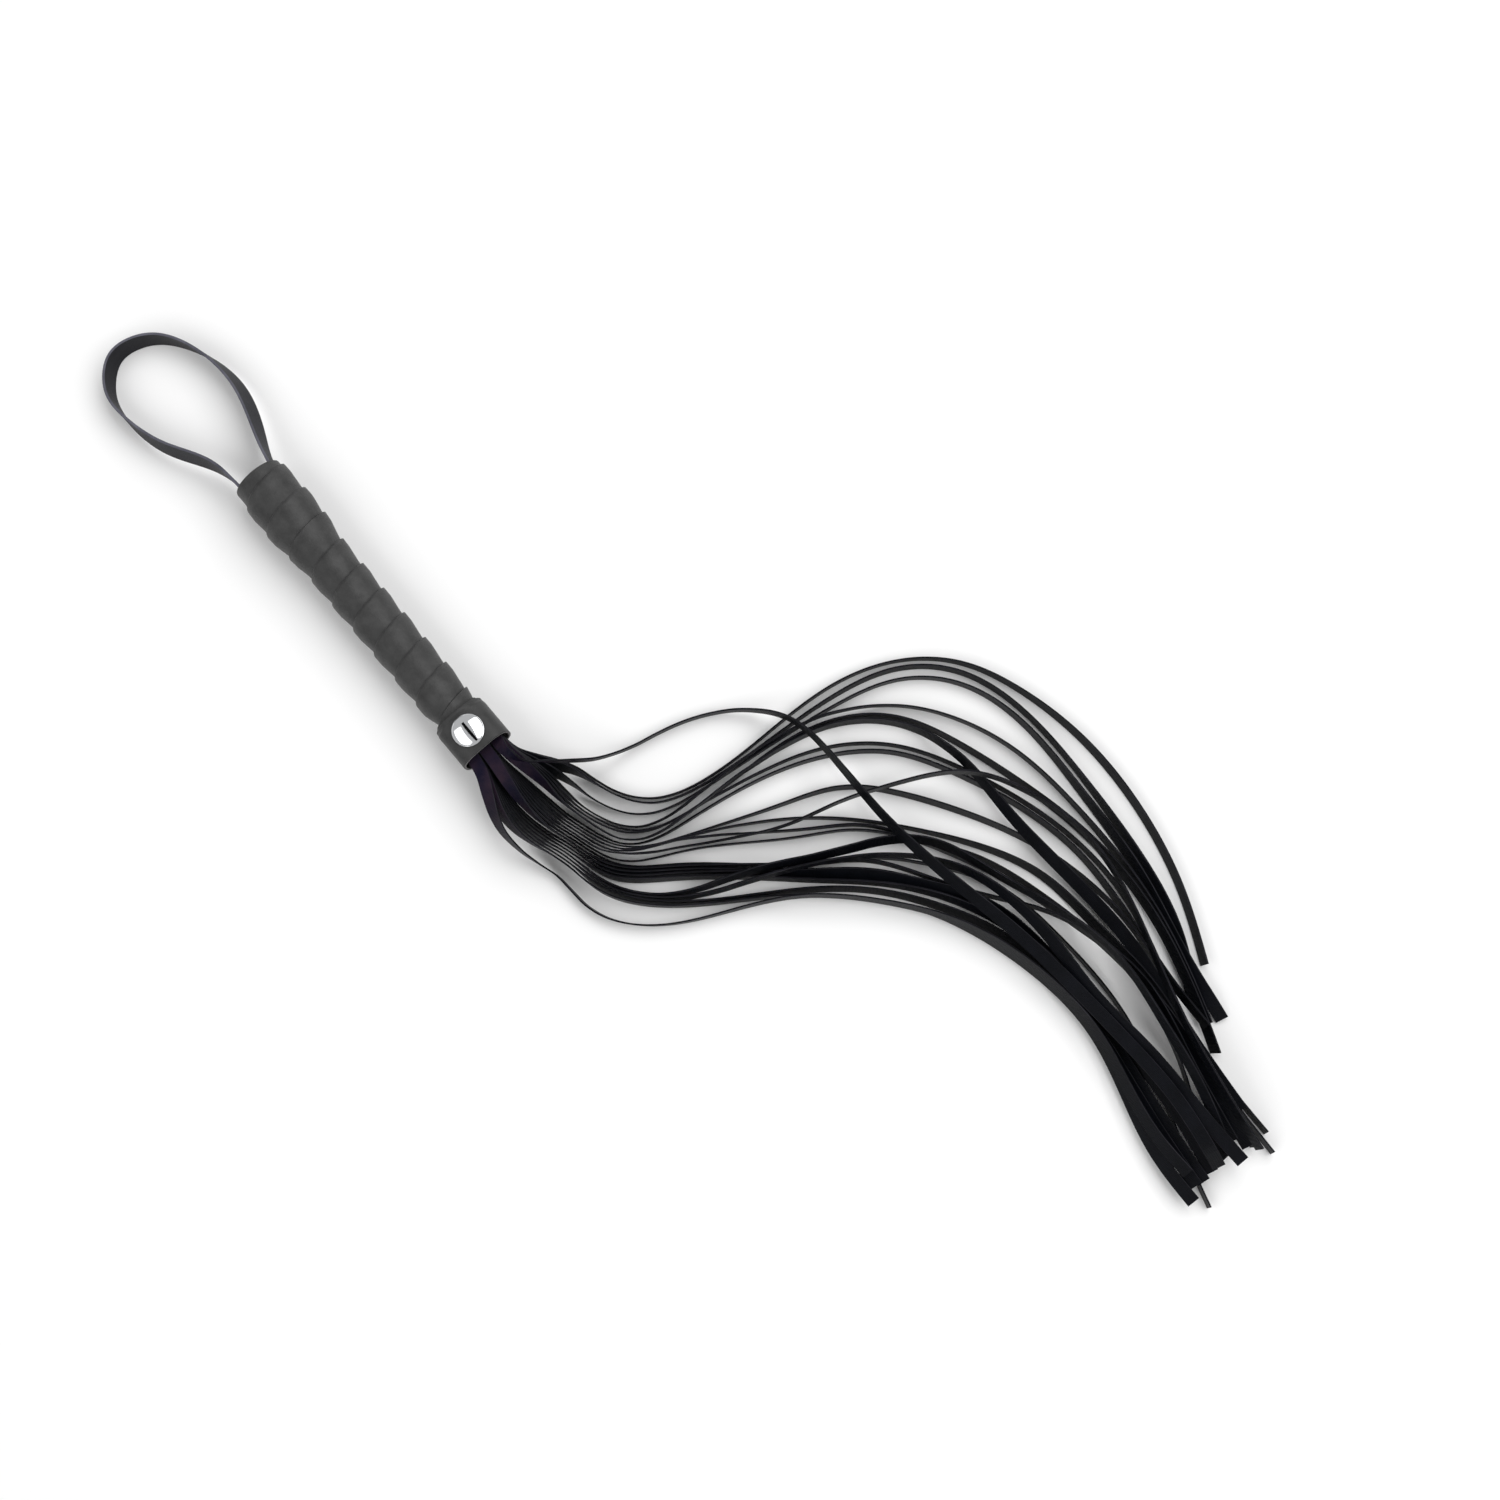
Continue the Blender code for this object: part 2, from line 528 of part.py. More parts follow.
def make_rivet():
    """A domed cap, a through post and a flat back cap."""
    top = CUFF_HALF_HEIGHT + GAP
    place = (-RIVET_FROM_MOUTH, 0, AXIS_Z)
    radius = DOME_DIAMETER / 2
    rise = DOME_HEIGHT - DOME_RIM
    ball = (radius**2 + rise**2) / (2 * rise)
    half = math.asin(radius / ball)
    profile = [(top, radius - DOME_RIM / 2), (top + DOME_RIM / 2, radius)]
    for k in range(DOME_RINGS + 1):
        angle = half * (1 - k / DOME_RINGS * (1 - DOME_FLAT))
        height = top + DOME_HEIGHT - ball + ball * math.cos(angle)
        profile.append((height, ball * math.sin(angle)))
    add_object("rivet_cap", turned_about_z("rivet_cap", profile), "chrome", place)
    post = [(-top + GAP, POST_DIAMETER / 2), (top - GAP, POST_DIAMETER / 2)]
    add_object("rivet_post", turned_about_z("rivet_post", post, 20), "steel", place)
    edge = BACK_THICKNESS / 3
    back = [
        (-top - BACK_THICKNESS, BACK_DIAMETER / 2 - edge),
        (-top - BACK_THICKNESS + edge, BACK_DIAMETER / 2),
        (-top, BACK_DIAMETER / 2),
    ]
    add_object("rivet_back", turned_about_z("rivet_back", back), "chrome", place)


def column_pitch():
    return FALL_WIDTH + COLUMN_GAP


def row_pitch():
    return FALL_THICKNESS + FALL_GAP


def row_height(row):
    """The middle of a row's thickness, from the handle's axis."""
    return (row - (FALL_ROWS - 1) / 2) * row_pitch()


def make_band():
    """The uncut band of the sheet: a ribbon folded to and fro into the rows, with the rivet through it."""
    t = FALL_THICKNESS
    half = (FALL_COLUMNS * column_pitch() - COLUMN_GAP) / 2
    one_side = [(-half, row_height(0) - t / 2)]
    other_side = [(-half, row_height(0) + t / 2)]
    for row in range(FALL_ROWS - 1):
        low, high = row_height(row) - t / 2, row_height(row) + t / 2
        next_low, next_high = low + row_pitch(), high + row_pitch()
        if row % 2 == 0:
            one_side += [(half, low), (half, next_high)]
            other_side += [(half - t, high), (half - t, next_low)]
        else:
            one_side += [(-half + t, high), (-half + t, next_low)]
            other_side += [(-half, low), (-half, next_high)]
    one_side.append((-half, row_height(FALL_ROWS - 1) + t / 2))
    other_side.append((-half, row_height(FALL_ROWS - 1) - t / 2))
    outline = one_side + other_side[::-1]
    ends = (-BAND_RECESS - BAND_LENGTH, -BAND_RECESS)
    rings = [[(x, y, z) for y, z in outline] for x in ends]
    band = add_object("falls_band", loft("falls_band", rings), "fall_leather", (0, 0, AXIS_Z))
    cut(band, post_bore(), (-RIVET_FROM_MOUTH, 0, AXIS_Z))


def table_height(roll):
    """The height of a fall's middle when it lies on the table at this roll in degrees."""
    angle = math.radians(roll)
    rise = FALL_WIDTH * abs(math.sin(angle)) + FALL_THICKNESS * abs(math.cos(angle))
    return rise / 2 + LIFT_OFF


def lane_of(column, row):
    """A fall's lane in the bend. The first column's top fall leaves the bundle at once and takes up none."""
    return column * FALL_ROWS + row - min(column, 1)


def lane_shift(lane):
    """How far a lane has moved sideways at the bundle's end, from the room left between the lanes."""
    room = sum(LANE_GAPS.values())
    return room / 2 - sum(gap for after, gap in LANE_GAPS.items() if lane > after) + BUNDLE_SHIFT


def bundle_point(column, row, run):
    """Where a fall is in its column as the column turns on edge: x, y, height and roll."""
    part = run / BUNDLE_LENGTH
    share = float(smooth_step(part))
    roll = BUNDLE_ROLL * share
    sine, cosine = math.sin(math.radians(roll)), math.cos(math.radians(roll))
    loose = 1 + BUNDLE_LOOSENING * share
    stack = (FALL_ROWS - 1) * row_pitch() * loose + FALL_THICKNESS
    broad = FALL_WIDTH * cosine + stack * sine + COLUMN_GAP
    tall = FALL_WIDTH * sine + stack * cosine
    clearance = (AXIS_Z - stack / 2 - LIFT_OFF) * (1 - share)
    middle = LIFT_OFF + clearance + tall / 2
    side = (FALL_COLUMNS - 1) / 2 - column
    offset = row_height(row) * loose
    beside = side * broad + lane_shift(lane_of(column, row)) * share - offset * sine
    turn = BUNDLE_TURN * max(part, 0) ** 2
    ahead = BUNDLE_LENGTH * BUNDLE_TURN * max(part, 0) ** 3 / 3
    x = run - beside * math.sin(turn)
    y = ahead + beside * math.cos(turn)
    return x, y, middle + offset * cosine, roll


def gate_point(gate, lane):
    """Where a lane crosses one of the lines across the bend."""
    outer, inner, groups = gate
    places = []
    for count, first, last in groups:
        places += [first + (last - first) * k / max(count - 1, 1) for k in range(count)]
    share = places[lane] / math.dist(outer, inner)
    return tuple(a + (b - a) * share for a, b in zip(outer, inner))


def fall_stations(index):
    """A fall's stations: middle line in plan, roll, and the height below which it may not come."""
    column, row, route, rolls = FALLS[index]
    points = [bundle_point(column, row, x) for x in (-BAND_RECESS + ROOT_GAP, 0.0)]
    if index < len(FALLS) - 1:
        for k in range(1, BUNDLE_STEPS + 1):
            points.append(bundle_point(column, row, BUNDLE_LENGTH * k / BUNDLE_STEPS))
        route = [gate_point(gate, lane_of(column, row)) for gate in GATES] + route
    plan = np.array([point[:2] for point in points] + [(x * MM, y * MM) for x, y in route])
    along = np.concatenate([[0], np.cumsum(np.linalg.norm(np.diff(plan, axis=0), axis=1))])
    share = along / along[-1]
    last = len(points) - 1
    marks = [share[last], share[last] + TWIST_LENGTH / along[-1], 0.25, 0.5, 0.75, 1]
    marks = np.maximum.accumulate(marks)
    turns = np.interp(share[last + 1 :], marks, (points[last][3], rolls[0], *rolls))
    points += [(x * MM, y * MM, table_height(roll), roll) for (x, y), roll in zip(route, turns)]
    line = spline(points, FALL_STATIONS)
    return line[:, :2], np.radians(line[:, 3]), line[:, 2]


def ring_offsets(roll):
    """The section's four corners as (across, up) from its middle, in order round it."""
    w, t = FALL_WIDTH / 2, FALL_THICKNESS / 2
    across = np.array([-w, w, w, -w])
    up = np.array([-t, -t, t, t])
    sine, cosine = np.sin(roll)[:, None], np.cos(roll)[:, None]
    return across * cosine - up * sine, across * sine + up * cosine


def plan_corners(line, roll):
    """Each station's corners in plan and their heights above the middle."""
    run = np.gradient(line, axis=0)
    run /= np.linalg.norm(run, axis=1)[:, None]
    left = np.stack([-run[:, 1], run[:, 0]], axis=1)
    across, up = ring_offsets(roll)
    return line[:, None, :] + across[:, :, None] * left[:, None, :], up


def dense_surface(plan, up):
    """Points all over each span's skin: positions in plan and heights, one row of points for each span."""
    along = max(2, int(np.ceil(np.linalg.norm(np.diff(plan[:, 0], axis=0), axis=1).max() / DRAPE_CELL)))
    round_it = int(np.ceil(FALL_WIDTH / DRAPE_CELL))
    shares = np.linspace(0, 1, round_it + 1)[:, None]
    ring_plan = [plan[:, j, None] * (1 - shares) + plan[:, (j + 1) % 4, None] * shares for j in range(4)]
    ring_plan = np.concatenate(ring_plan, axis=1)
    ring_up = np.concatenate(
        [up[:, j, None] * (1 - shares[:, 0]) + up[:, (j + 1) % 4, None] * shares[:, 0] for j in range(4)],
        axis=1,
    )
    steps = np.linspace(0, 1, along + 1)
    spans_plan = ring_plan[:-1, None] * (1 - steps)[None, :, None, None]
    spans_plan = spans_plan + ring_plan[1:, None] * steps[None, :, None, None]
    spans_up = ring_up[:-1, None] * (1 - steps)[None, :, None] + ring_up[1:, None] * steps[None, :, None]
    return spans_plan, spans_up, steps


def drape():
    """Lays the falls down one after another, each over those below it, and returns their middle lines."""
    low = np.array([-20 * MM, -60 * MM])
    size = (int(440 * MM / DRAPE_CELL), int(320 * MM / DRAPE_CELL))
    height = np.zeros(size)
    laid = []
    for index in range(len(FALLS)):
        line, roll, least = fall_stations(index)
        plan, up = plan_corners(line, roll)
        spans_plan, spans_up, steps = dense_surface(plan, up)
        cells = np.floor((spans_plan - low) / DRAPE_CELL).astype(int)
        need = np.full(spans_up.shape, 0.0)
        for dx in (-1, 0, 1):
            for dy in (-1, 0, 1):
                need = np.maximum(need, height[cells[..., 0] + dx, cells[..., 1] + dy])
        need = need + np.where(need > 0, DRAPE_GAP, 0) - spans_up
        need = need.reshape(len(need), -1).max(axis=1)
        at_station = np.maximum(np.append(need, need[-1]), np.insert(need, 0, need[0]))
        rise = np.maximum(at_station - least, 0)
        # The root keeps its place in the stack, and a fall spans the dips between what it lies on.
        rise[0] = 0
        for _ in range(DRAPE_PASSES):
            rise[1:-1] = np.maximum(rise[1:-1], (rise[:-2] + rise[2:]) / 2)
        at_station = least + rise
        heights = at_station[:-1, None] * (1 - steps) + at_station[1:, None] * steps
        top = heights[:, :, None] + spans_up
        np.maximum.at(height, (cells[..., 0].ravel(), cells[..., 1].ravel()), top.ravel())
        laid.append((line, roll, at_station))
    return laid


def make_falls():
    for index, (line, roll, middle) in enumerate(drape()):
        plan, up = plan_corners(line, roll)
        rings = []
        for i in range(len(line)):
            rings.append([(*plan[i, j], middle[i] + up[i, j]) for j in range(4)])
        name = f"fall_{index + 1:02d}"
        place = (0, 0, -AXIS_Z)
        add_object(name, loft(name, rings), "fall_leather", place, "falls_pivot")


def make_loop():
    """The strap between its two exits, on edge, with its upper edge leaning a little."""
    exit_y = STRAP_SEAT + STRAP_THICKNESS / 2
    scale = (MM, MM, MM, math.pi / 180)
    route = [tuple(v * k for v, k in zip(point, scale)) for point in LOOP_ROUTE]
    line = spline([(-GAP, -exit_y, AXIS_Z, 0), *route, (-GAP, exit_y, AXIS_Z, 0)], LOOP_STATIONS)
    run = np.gradient(line[:, :2], axis=0)
    run[0], run[-1] = (-1, 0), (1, 0)
    run /= np.linalg.norm(run, axis=1)[:, None]
    t = STRAP_THICKNESS / 2
    rings = []
    for (x, y, z, lean), (run_x, run_y) in zip(line, run):
        w = (TAB_WIDTH + (STRAP_WIDTH - TAB_WIDTH) * float(smooth_step(-x / TAB_TAPER))) / 2
        # Going round clockwise, the loop's outside lies on the left of the strap.
        out = np.array([-run_y, run_x, 0]) * LOOP_SIDE
        across = np.array([0, 0, math.cos(lean)]) + out * math.sin(lean)
        through = out * math.cos(lean) - np.array([0, 0, math.sin(lean)])
        middle = np.array([BUTT_X + x, y, z])
        corners = ((-w, -t), (w, -t), (w, t), (-w, t))
        rings.append([tuple(middle + across * a + through * b) for a, b in corners])
    place = (-BUTT_X, 0, -AXIS_Z)
    add_object("wrist_loop", loft("wrist_loop", rings), "strap_leather", place, "loop_pivot")


def shade():
    """Smooth shading on round pieces, with their edges kept."""
    for obj in bpy.data.objects:
        if obj.type == "MESH" and not obj.hide_render:
            for polygon in obj.data.polygons:
                polygon.use_smooth = True
            obj.data.set_sharp_from_angle(angle=math.radians(40))


def centre():
    """Moves the part so that the handle and its loop are centred on the origin."""
    bpy.context.view_layer.update()
    points = []
    for obj in bpy.data.objects:
        if obj.type == "MESH" and not obj.hide_render and not obj.name.startswith("fall_"):
            points += [obj.matrix_world @ v.co for v in obj.data.vertices]
    low = [min(p[k] for p in points) for k in range(2)]
    high = [max(p[k] for p in points) for k in range(2)]
    root = bpy.data.objects["riding_crop"]
    root.location = (-(low[0] + high[0]) / 2, -(low[1] + high[1]) / 2, 0)
    bpy.context.view_layer.update()


def main():
    for obj in list(bpy.data.objects):
        bpy.data.objects.remove(obj)
    root = add_empty("riding_crop", (0, 0, 0))
    add_empty("handle", (0, 0, 0), root)
    add_empty("loop_pivot", (BUTT_X, 0, AXIS_Z), root)
    add_empty("falls_pivot", (0, 0, AXIS_Z), root)
    make_core()
    make_butt_disc()
    make_tabs()
    make_wrap()
    make_cuff()
    make_liner()
    make_rivet()
    make_band()
    make_falls()
    make_loop()
    shade()
    centre()


main()
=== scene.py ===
"""Multi-tail riding crop (flogger type), at rest on a pale floor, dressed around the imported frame."""

import math

import bmesh
import bpy
import numpy as np
from mathutils import Matrix, Vector


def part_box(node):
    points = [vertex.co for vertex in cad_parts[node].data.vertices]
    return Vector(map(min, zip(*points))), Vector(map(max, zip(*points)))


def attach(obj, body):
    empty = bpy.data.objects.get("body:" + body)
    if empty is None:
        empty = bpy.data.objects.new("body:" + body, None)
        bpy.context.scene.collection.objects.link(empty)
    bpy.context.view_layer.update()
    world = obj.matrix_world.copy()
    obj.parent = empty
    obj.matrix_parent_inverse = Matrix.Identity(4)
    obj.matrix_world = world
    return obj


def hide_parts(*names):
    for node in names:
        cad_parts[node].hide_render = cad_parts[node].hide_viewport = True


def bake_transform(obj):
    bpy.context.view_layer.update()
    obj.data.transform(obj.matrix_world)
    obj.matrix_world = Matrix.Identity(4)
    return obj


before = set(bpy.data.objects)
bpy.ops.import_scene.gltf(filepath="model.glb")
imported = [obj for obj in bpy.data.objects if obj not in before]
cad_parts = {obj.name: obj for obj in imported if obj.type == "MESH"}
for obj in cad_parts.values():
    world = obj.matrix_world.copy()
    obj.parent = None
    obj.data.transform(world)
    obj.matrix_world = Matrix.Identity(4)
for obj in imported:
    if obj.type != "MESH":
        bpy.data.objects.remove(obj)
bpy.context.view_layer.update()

# The same sizes, routes and rules as the part's own source, in metres

MM = 0.001

# Fits
GAP = 0.3 * MM  # between pieces that touch
FALL_GAP = 0.45 * MM  # between falls in the stack at the cuff's mouth

# Handle and its core
HANDLE_LENGTH = 184.5 * MM  # butt to cuff mouth
BUTT_RADIUS = 11.9 * MM
POMMEL_RADIUS = 12.7 * MM
POMMEL_AT = 27.0 * MM  # from the butt
WAIST_RADIUS = 10.2 * MM
WAIST_AT = 60.0 * MM  # from the butt
SHAFT_RADIUS = 10.0 * MM  # short of the cuff
NECK_TAPER = 11.5 * MM  # length in which the shaft narrows, short of the cuff
NECK_RADIUS = 8.4 * MM  # where the core goes into the cuff

# Wrap: one strip wound from the butt to the cuff, each turn's butt edge on top of the turn before
WRAP_THICKNESS = 1.1 * MM
WRAP_PITCH = 16.6 * MM
WRAP_OVERLAP = 5.4 * MM
WRAP_SLOPE = 10.6 * MM  # length in which a turn comes down from its neighbour to the core
WRAP_SHORTEST = 2.5 * MM  # strip left where the wrap begins and ends
WRAP_START = 0.4  # share of the overlap in which the first turn climbs on itself
WRAP_START_ANGLE = math.radians(200)

# Cuff: round at its butt end, flattened from there to the mouth
CUFF_LENGTH = 23.0 * MM
CUFF_THICKNESS = 1.4 * MM
CUFF_SIDE_ROOM = 2.3 * MM  # from the stack of falls to the cuff's inner face, at the side
CUFF_TOP_ROOM = 6.2 * MM  # the same, above and below
CUFF_SQUARENESS = 3.0  # exponent of the flattened section
CUFF_ROUND_LENGTH = 1.2 * MM
CUFF_MORPH_LENGTH = 2.2 * MM
CUFF_SEAM = 0.6 * MM  # between the strip's two butted ends, underneath
LINER_THICKNESS = 0.8 * MM
WRAP_GRIP = 1.5 * MM  # length of the wrap inside the cuff

# Rivet
RIVET_FROM_MOUTH = 11.5 * MM
DOME_DIAMETER = 16.4 * MM
DOME_HEIGHT = 3.0 * MM
DOME_RIM = 0.6 * MM

# Falls: one slit sheet, folded in rows of three
FALL_THICKNESS = 0.85 * MM
FALL_WIDTH = 6.6 * MM
FALL_COLUMNS = 3
COLUMN_GAP = 0.7 * MM
FALL_ROWS = 8
ROOT_GAP = 1.0 * MM  # between the band and the falls, each its own piece
BAND_RECESS = 2.7 * MM  # from the mouth to where the slits begin
FALL_STATIONS = 44
BUNDLE_LENGTH = 58.0 * MM  # from the mouth, in which each column turns on edge and comes down
BUNDLE_ROLL = 89.0  # degrees, at the end of that length
BUNDLE_STEPS = 7
BUNDLE_TURN = math.radians(20)  # how far the bundle has turned towards +Y at its end
BUNDLE_LOOSENING = 0.12  # by which the falls' pitch has grown at its end
BUNDLE_SHIFT = 2.0 * MM  # how far the bundle has wandered towards +Y at its end
LANE_GAPS = {1: 5.7 * MM, 2: 4.5 * MM, 21: 6.0 * MM}  # room added after these lanes at the bundle's end
TWIST_LENGTH = 18.0 * MM  # length in which a fall comes to its own roll beyond the bundle
LIFT_OFF = 0.15 * MM  # least height above the table
DRAPE_CELL = 0.1 * MM
DRAPE_GAP = 0.4 * MM
DRAPE_PASSES = 2  # smoothing passes over a fall's heights

# Wrist strap
STRAP_WIDTH = 13.5 * MM
STRAP_THICKNESS = 1.4 * MM
TAB_WIDTH = 11.5 * MM  # the strap is trimmed where it goes into the handle
TAB_DEPTH = 0.12 * MM  # a tab's outer corners under the core's round
TAB_TAPER = 16.0 * MM  # length in which it comes to its full width

# Derived
STACK_HALF_WIDTH = (FALL_COLUMNS * (FALL_WIDTH + COLUMN_GAP) - COLUMN_GAP) / 2
STACK_HALF_HEIGHT = (FALL_ROWS * (FALL_THICKNESS + FALL_GAP) - FALL_GAP) / 2
CUFF_HALF_WIDTH = STACK_HALF_WIDTH + CUFF_SIDE_ROOM + CUFF_THICKNESS  # outside, at the mouth
CUFF_HALF_HEIGHT = STACK_HALF_HEIGHT + CUFF_TOP_ROOM + CUFF_THICKNESS
WRAPPED_NECK = NECK_RADIUS + 2 * (GAP + WRAP_THICKNESS)
CUFF_RADIUS = WRAPPED_NECK + GAP + LINER_THICKNESS + GAP + CUFF_THICKNESS  # outside, at the butt end
SHAFT_AT = HANDLE_LENGTH - CUFF_LENGTH - NECK_TAPER
TAB_ROUND = min(BUTT_RADIUS, POMMEL_RADIUS)
STRAP_SEAT = math.sqrt(TAB_ROUND**2 - (TAB_WIDTH / 2) ** 2) - TAB_DEPTH - STRAP_THICKNESS
AXIS_Z = POMMEL_RADIUS + GAP + 2 * WRAP_THICKNESS + GAP
BUTT_X = -HANDLE_LENGTH

# The wrist loop's middle line from one exit to the other, in mm from the butt's centre: x, y, height of
# its middle, and lean of its upper edge outwards in degrees
LOOP_ROUTE = [
    (-8, -10.3, 14.5, -3),
    (-19, -12.7, 12.8, -10),
    (-45.5, -26.2, 9.5, -15),
    (-70.5, -32.6, 7.6, -6),
    (-87, -31.3, 7.0, 4),
    (-95.5, -26, 6.95, 8),
    (-102, -16.4, 6.9, 9),
    (-101, -4.7, 6.9, 9),
    (-94.5, 6.2, 6.95, 8),
    (-84, 14, 7.0, 4),
    (-73, 18.7, 7.4, -2),
    (-45.5, 22.2, 9.7, -14),
    (-19, 15.2, 12.8, -10),
    (-8, 11.5, 14.5, -3),
]
LOOP_STATIONS = 40
LOOP_SIDE = 1  # the side of the route, seen along it, that the loop's outside is on

# Beyond the bundle the falls go round a bend on edge, in lanes: each line across the bend has its ends,
# outer and inner, in mm from the mouth's centre, and groups of lanes on it as (how many, where the first
# is, where the last is) in mm from its outer end
GATES = (
    ((69, 46), (90, -10), ((2, 0.6, 3.2), (1, 9.6, 9.6), (3, 16.7, 20.7), (12, 24.6, 44.2),
      (4, 47.6, 52.4), (1, 62.4, 62.4))),
    ((80, 76), (118, 5), ((2, 1.2, 4.0), (2, 7.0, 9.6), (4, 16.4, 22.6), (3, 32.6, 36.4), (2, 39.2, 41.2),
      (5, 47.6, 55.4), (4, 64.2, 69.8), (1, 80.0, 80.0))),
)

# Each fall, in the order in which they lie on one another: its column (0 is at +Y) and row (0 is the
# lowest) in the folded stack, its route beyond the bend in mm from the mouth's centre, and its roll in
# degrees at a quarter, a half and three quarters of its length and at its tip.
FALLS = [
    (0, 0, [(87, 155), (99, 184), (119, 205), (148, 218), (185, 225), (232, 223), (272, 213),
      (308, 197)], (93, 89, 62, 60)),
    (0, 1, [(91, 150), (101, 180), (121, 201), (153, 212), (199, 213), (248, 208), (289, 197),
      (316, 182)], (93, 81, 71, 20)),
    (0, 2, [(95, 147), (105, 176), (125, 197), (157, 208), (203, 208), (254, 203), (299, 192),
      (333, 186)], (93, 87, 60, 12)),
    (0, 3, [(98, 143), (114, 167), (138, 185), (170, 197), (210, 201), (256, 199), (294, 191),
      (330, 179)], (93, 89, 75, 35)),
    (0, 4, [(100, 140), (118, 163), (148, 178), (182, 188), (217, 195), (259, 196), (303, 187),
      (343, 173)], (93, 79, 58, 45)),
    (0, 5, [(110, 132), (129, 154), (156, 170), (187, 182), (223, 190), (263, 189), (327, 171),
      (387, 166)], (93, 83, 75, 74)),
    (1, 0, [(113, 129), (131, 151), (158, 167), (191, 180), (228, 187), (270, 184), (306, 179),
      (331, 178)], (93, 81, 71, 60)),
    (1, 1, [(115, 94), (127, 120), (148, 140), (173, 156), (201, 170), (235, 180), (273, 182),
      (334, 168), (396, 162)], (93, 71, 75, 76)),
    (0, 6, [(103, 141), (123, 163), (155, 174), (192, 174), (232, 176), (273, 177), (320, 170),
      (371, 164)], (93, 71, 12, 8)),
    (1, 2, [(127, 97), (147, 118), (169, 136), (194, 153), (223, 166), (264, 170), (298, 171),
      (348, 162), (388, 157)], (93, 81, 45, 70)),
    (1, 3, [(133, 96), (149, 117), (172, 133), (196, 148), (228, 159), (266, 166), (305, 168),
      (348, 162), (386, 155)], (93, 83, 60, 15)),
    (1, 4, [(125, 89), (133, 115), (145, 143), (161, 169), (186, 186), (219, 195), (261, 190),
      (310, 174), (390, 158)], (93, 81, 73, 62)),
    (1, 5, [(133, 90), (146, 110), (165, 127), (190, 141), (221, 154), (255, 163), (293, 169),
      (334, 161), (379, 151)], (93, 87, 64, 30)),
    (1, 6, [(149, 88), (166, 112), (188, 131), (215, 147), (250, 153), (293, 153), (332, 144),
      (367, 131), (396, 122)], (93, 85, 81, 78)),
    (1, 7, [(146, 84), (164, 107), (189, 124), (215, 140), (241, 157), (274, 166), (309, 164),
      (349, 151), (384, 134)], (80, 79, 79, 80)),
    (2, 0, [(149, 81), (168, 103), (192, 121), (221, 136), (256, 142), (291, 142), (327, 142),
      (359, 139), (384, 134)], (80, 40, 30, 10)),
    (2, 1, [(149, 80), (168, 102), (192, 121), (218, 137), (248, 143), (278, 143), (315, 138),
      (353, 132), (385, 128)], (80, 30, 35, 10)),
    (2, 2, [(155, 82), (175, 103), (199, 122), (228, 136), (262, 143), (297, 144), (330, 146),
      (360, 144), (383, 145)], (76, 77, 40, 10)),
    (2, 3, [(134, 66), (149, 93), (161, 118), (178, 137), (208, 149), (241, 160), (274, 167),
      (315, 163), (351, 156), (381, 146)], (76, 55, 75, 40)),
    (2, 4, [(140, 69), (154, 95), (173, 121), (195, 138), (223, 147), (252, 149), (287, 147),
      (322, 149), (360, 148), (389, 148)], (74, 83, 20, 8)),
    (2, 5, [(157, 78), (177, 100), (202, 118), (232, 132), (267, 138), (297, 137), (328, 132),
      (358, 127), (384, 124)], (72, 71, 40, 12)),
    (2, 6, [(151, 66), (173, 90), (197, 110), (226, 124), (260, 133), (296, 135), (328, 128),
      (359, 120), (389, 118)], (84, 83, 60, 12)),
    (2, 7, [(143, 50), (159, 75), (181, 97), (205, 115), (235, 129), (269, 136), (300, 136),
      (332, 129), (357, 125), (377, 125)], (93, 77, 60, 30)),
    (0, 7, [(16, 10), (26, 20), (39, 41), (48, 73), (64, 106), (86, 123), (119, 127), (157, 127),
      (193, 131), (233, 138), (273, 142), (310, 144), (346, 144), (384, 138)], (90, 52, 2, 5)),
]

def smooth_step(t):
    t = np.clip(t, 0.0, 1.0)
    return t * t * (3 - 2 * t)


def spline(points, count):
    """Samples of the natural cubic curve through the points, evenly spaced in plan."""
    points = np.asarray(points, float)
    steps = np.linalg.norm(np.diff(points[:, :2], axis=0), axis=1)
    knots = np.concatenate([[0], np.cumsum(steps)])
    size = len(points)
    system = np.eye(size)
    right = np.zeros_like(points)
    for i in range(1, size - 1):
        system[i, i - 1 : i + 2] = steps[i - 1], 2 * (steps[i - 1] + steps[i]), steps[i]
        slopes = (points[i + 1] - points[i]) / steps[i] - (points[i] - points[i - 1]) / steps[i - 1]
        right[i] = 6 * slopes
    bend = np.linalg.solve(system, right)

    def at(u):
        i = np.clip(np.searchsorted(knots, u, side="right") - 1, 0, size - 2)
        h = steps[i][:, None]
        a = (knots[i + 1][:, None] - u[:, None]) / h
        b = 1 - a
        cubic = ((a**3 - a) * bend[i] + (b**3 - b) * bend[i + 1]) * h**2 / 6
        return a * points[i] + b * points[i + 1] + cubic

    fine = at(np.linspace(0, knots[-1], 40 * size))
    along = np.concatenate([[0], np.cumsum(np.linalg.norm(np.diff(fine[:, :2], axis=0), axis=1))])
    even = np.linspace(0, along[-1], count)
    return np.stack([np.interp(even, along, fine[:, k]) for k in range(points.shape[1])], axis=1)


def base_radius(distance):
    """The radius that the wrap lies on, at a distance from the butt."""
    stations = [0, POMMEL_AT, WAIST_AT, SHAFT_AT, HANDLE_LENGTH - CUFF_LENGTH, HANDLE_LENGTH]
    radii = [BUTT_RADIUS, POMMEL_RADIUS, WAIST_RADIUS, SHAFT_RADIUS, NECK_RADIUS, NECK_RADIUS]
    i = min(max(int(np.searchsorted(stations, distance)) - 1, 0), len(stations) - 2)
    t = (distance - stations[i]) / (stations[i + 1] - stations[i])
    return float(radii[i] + (radii[i + 1] - radii[i]) * smooth_step(t)) + GAP


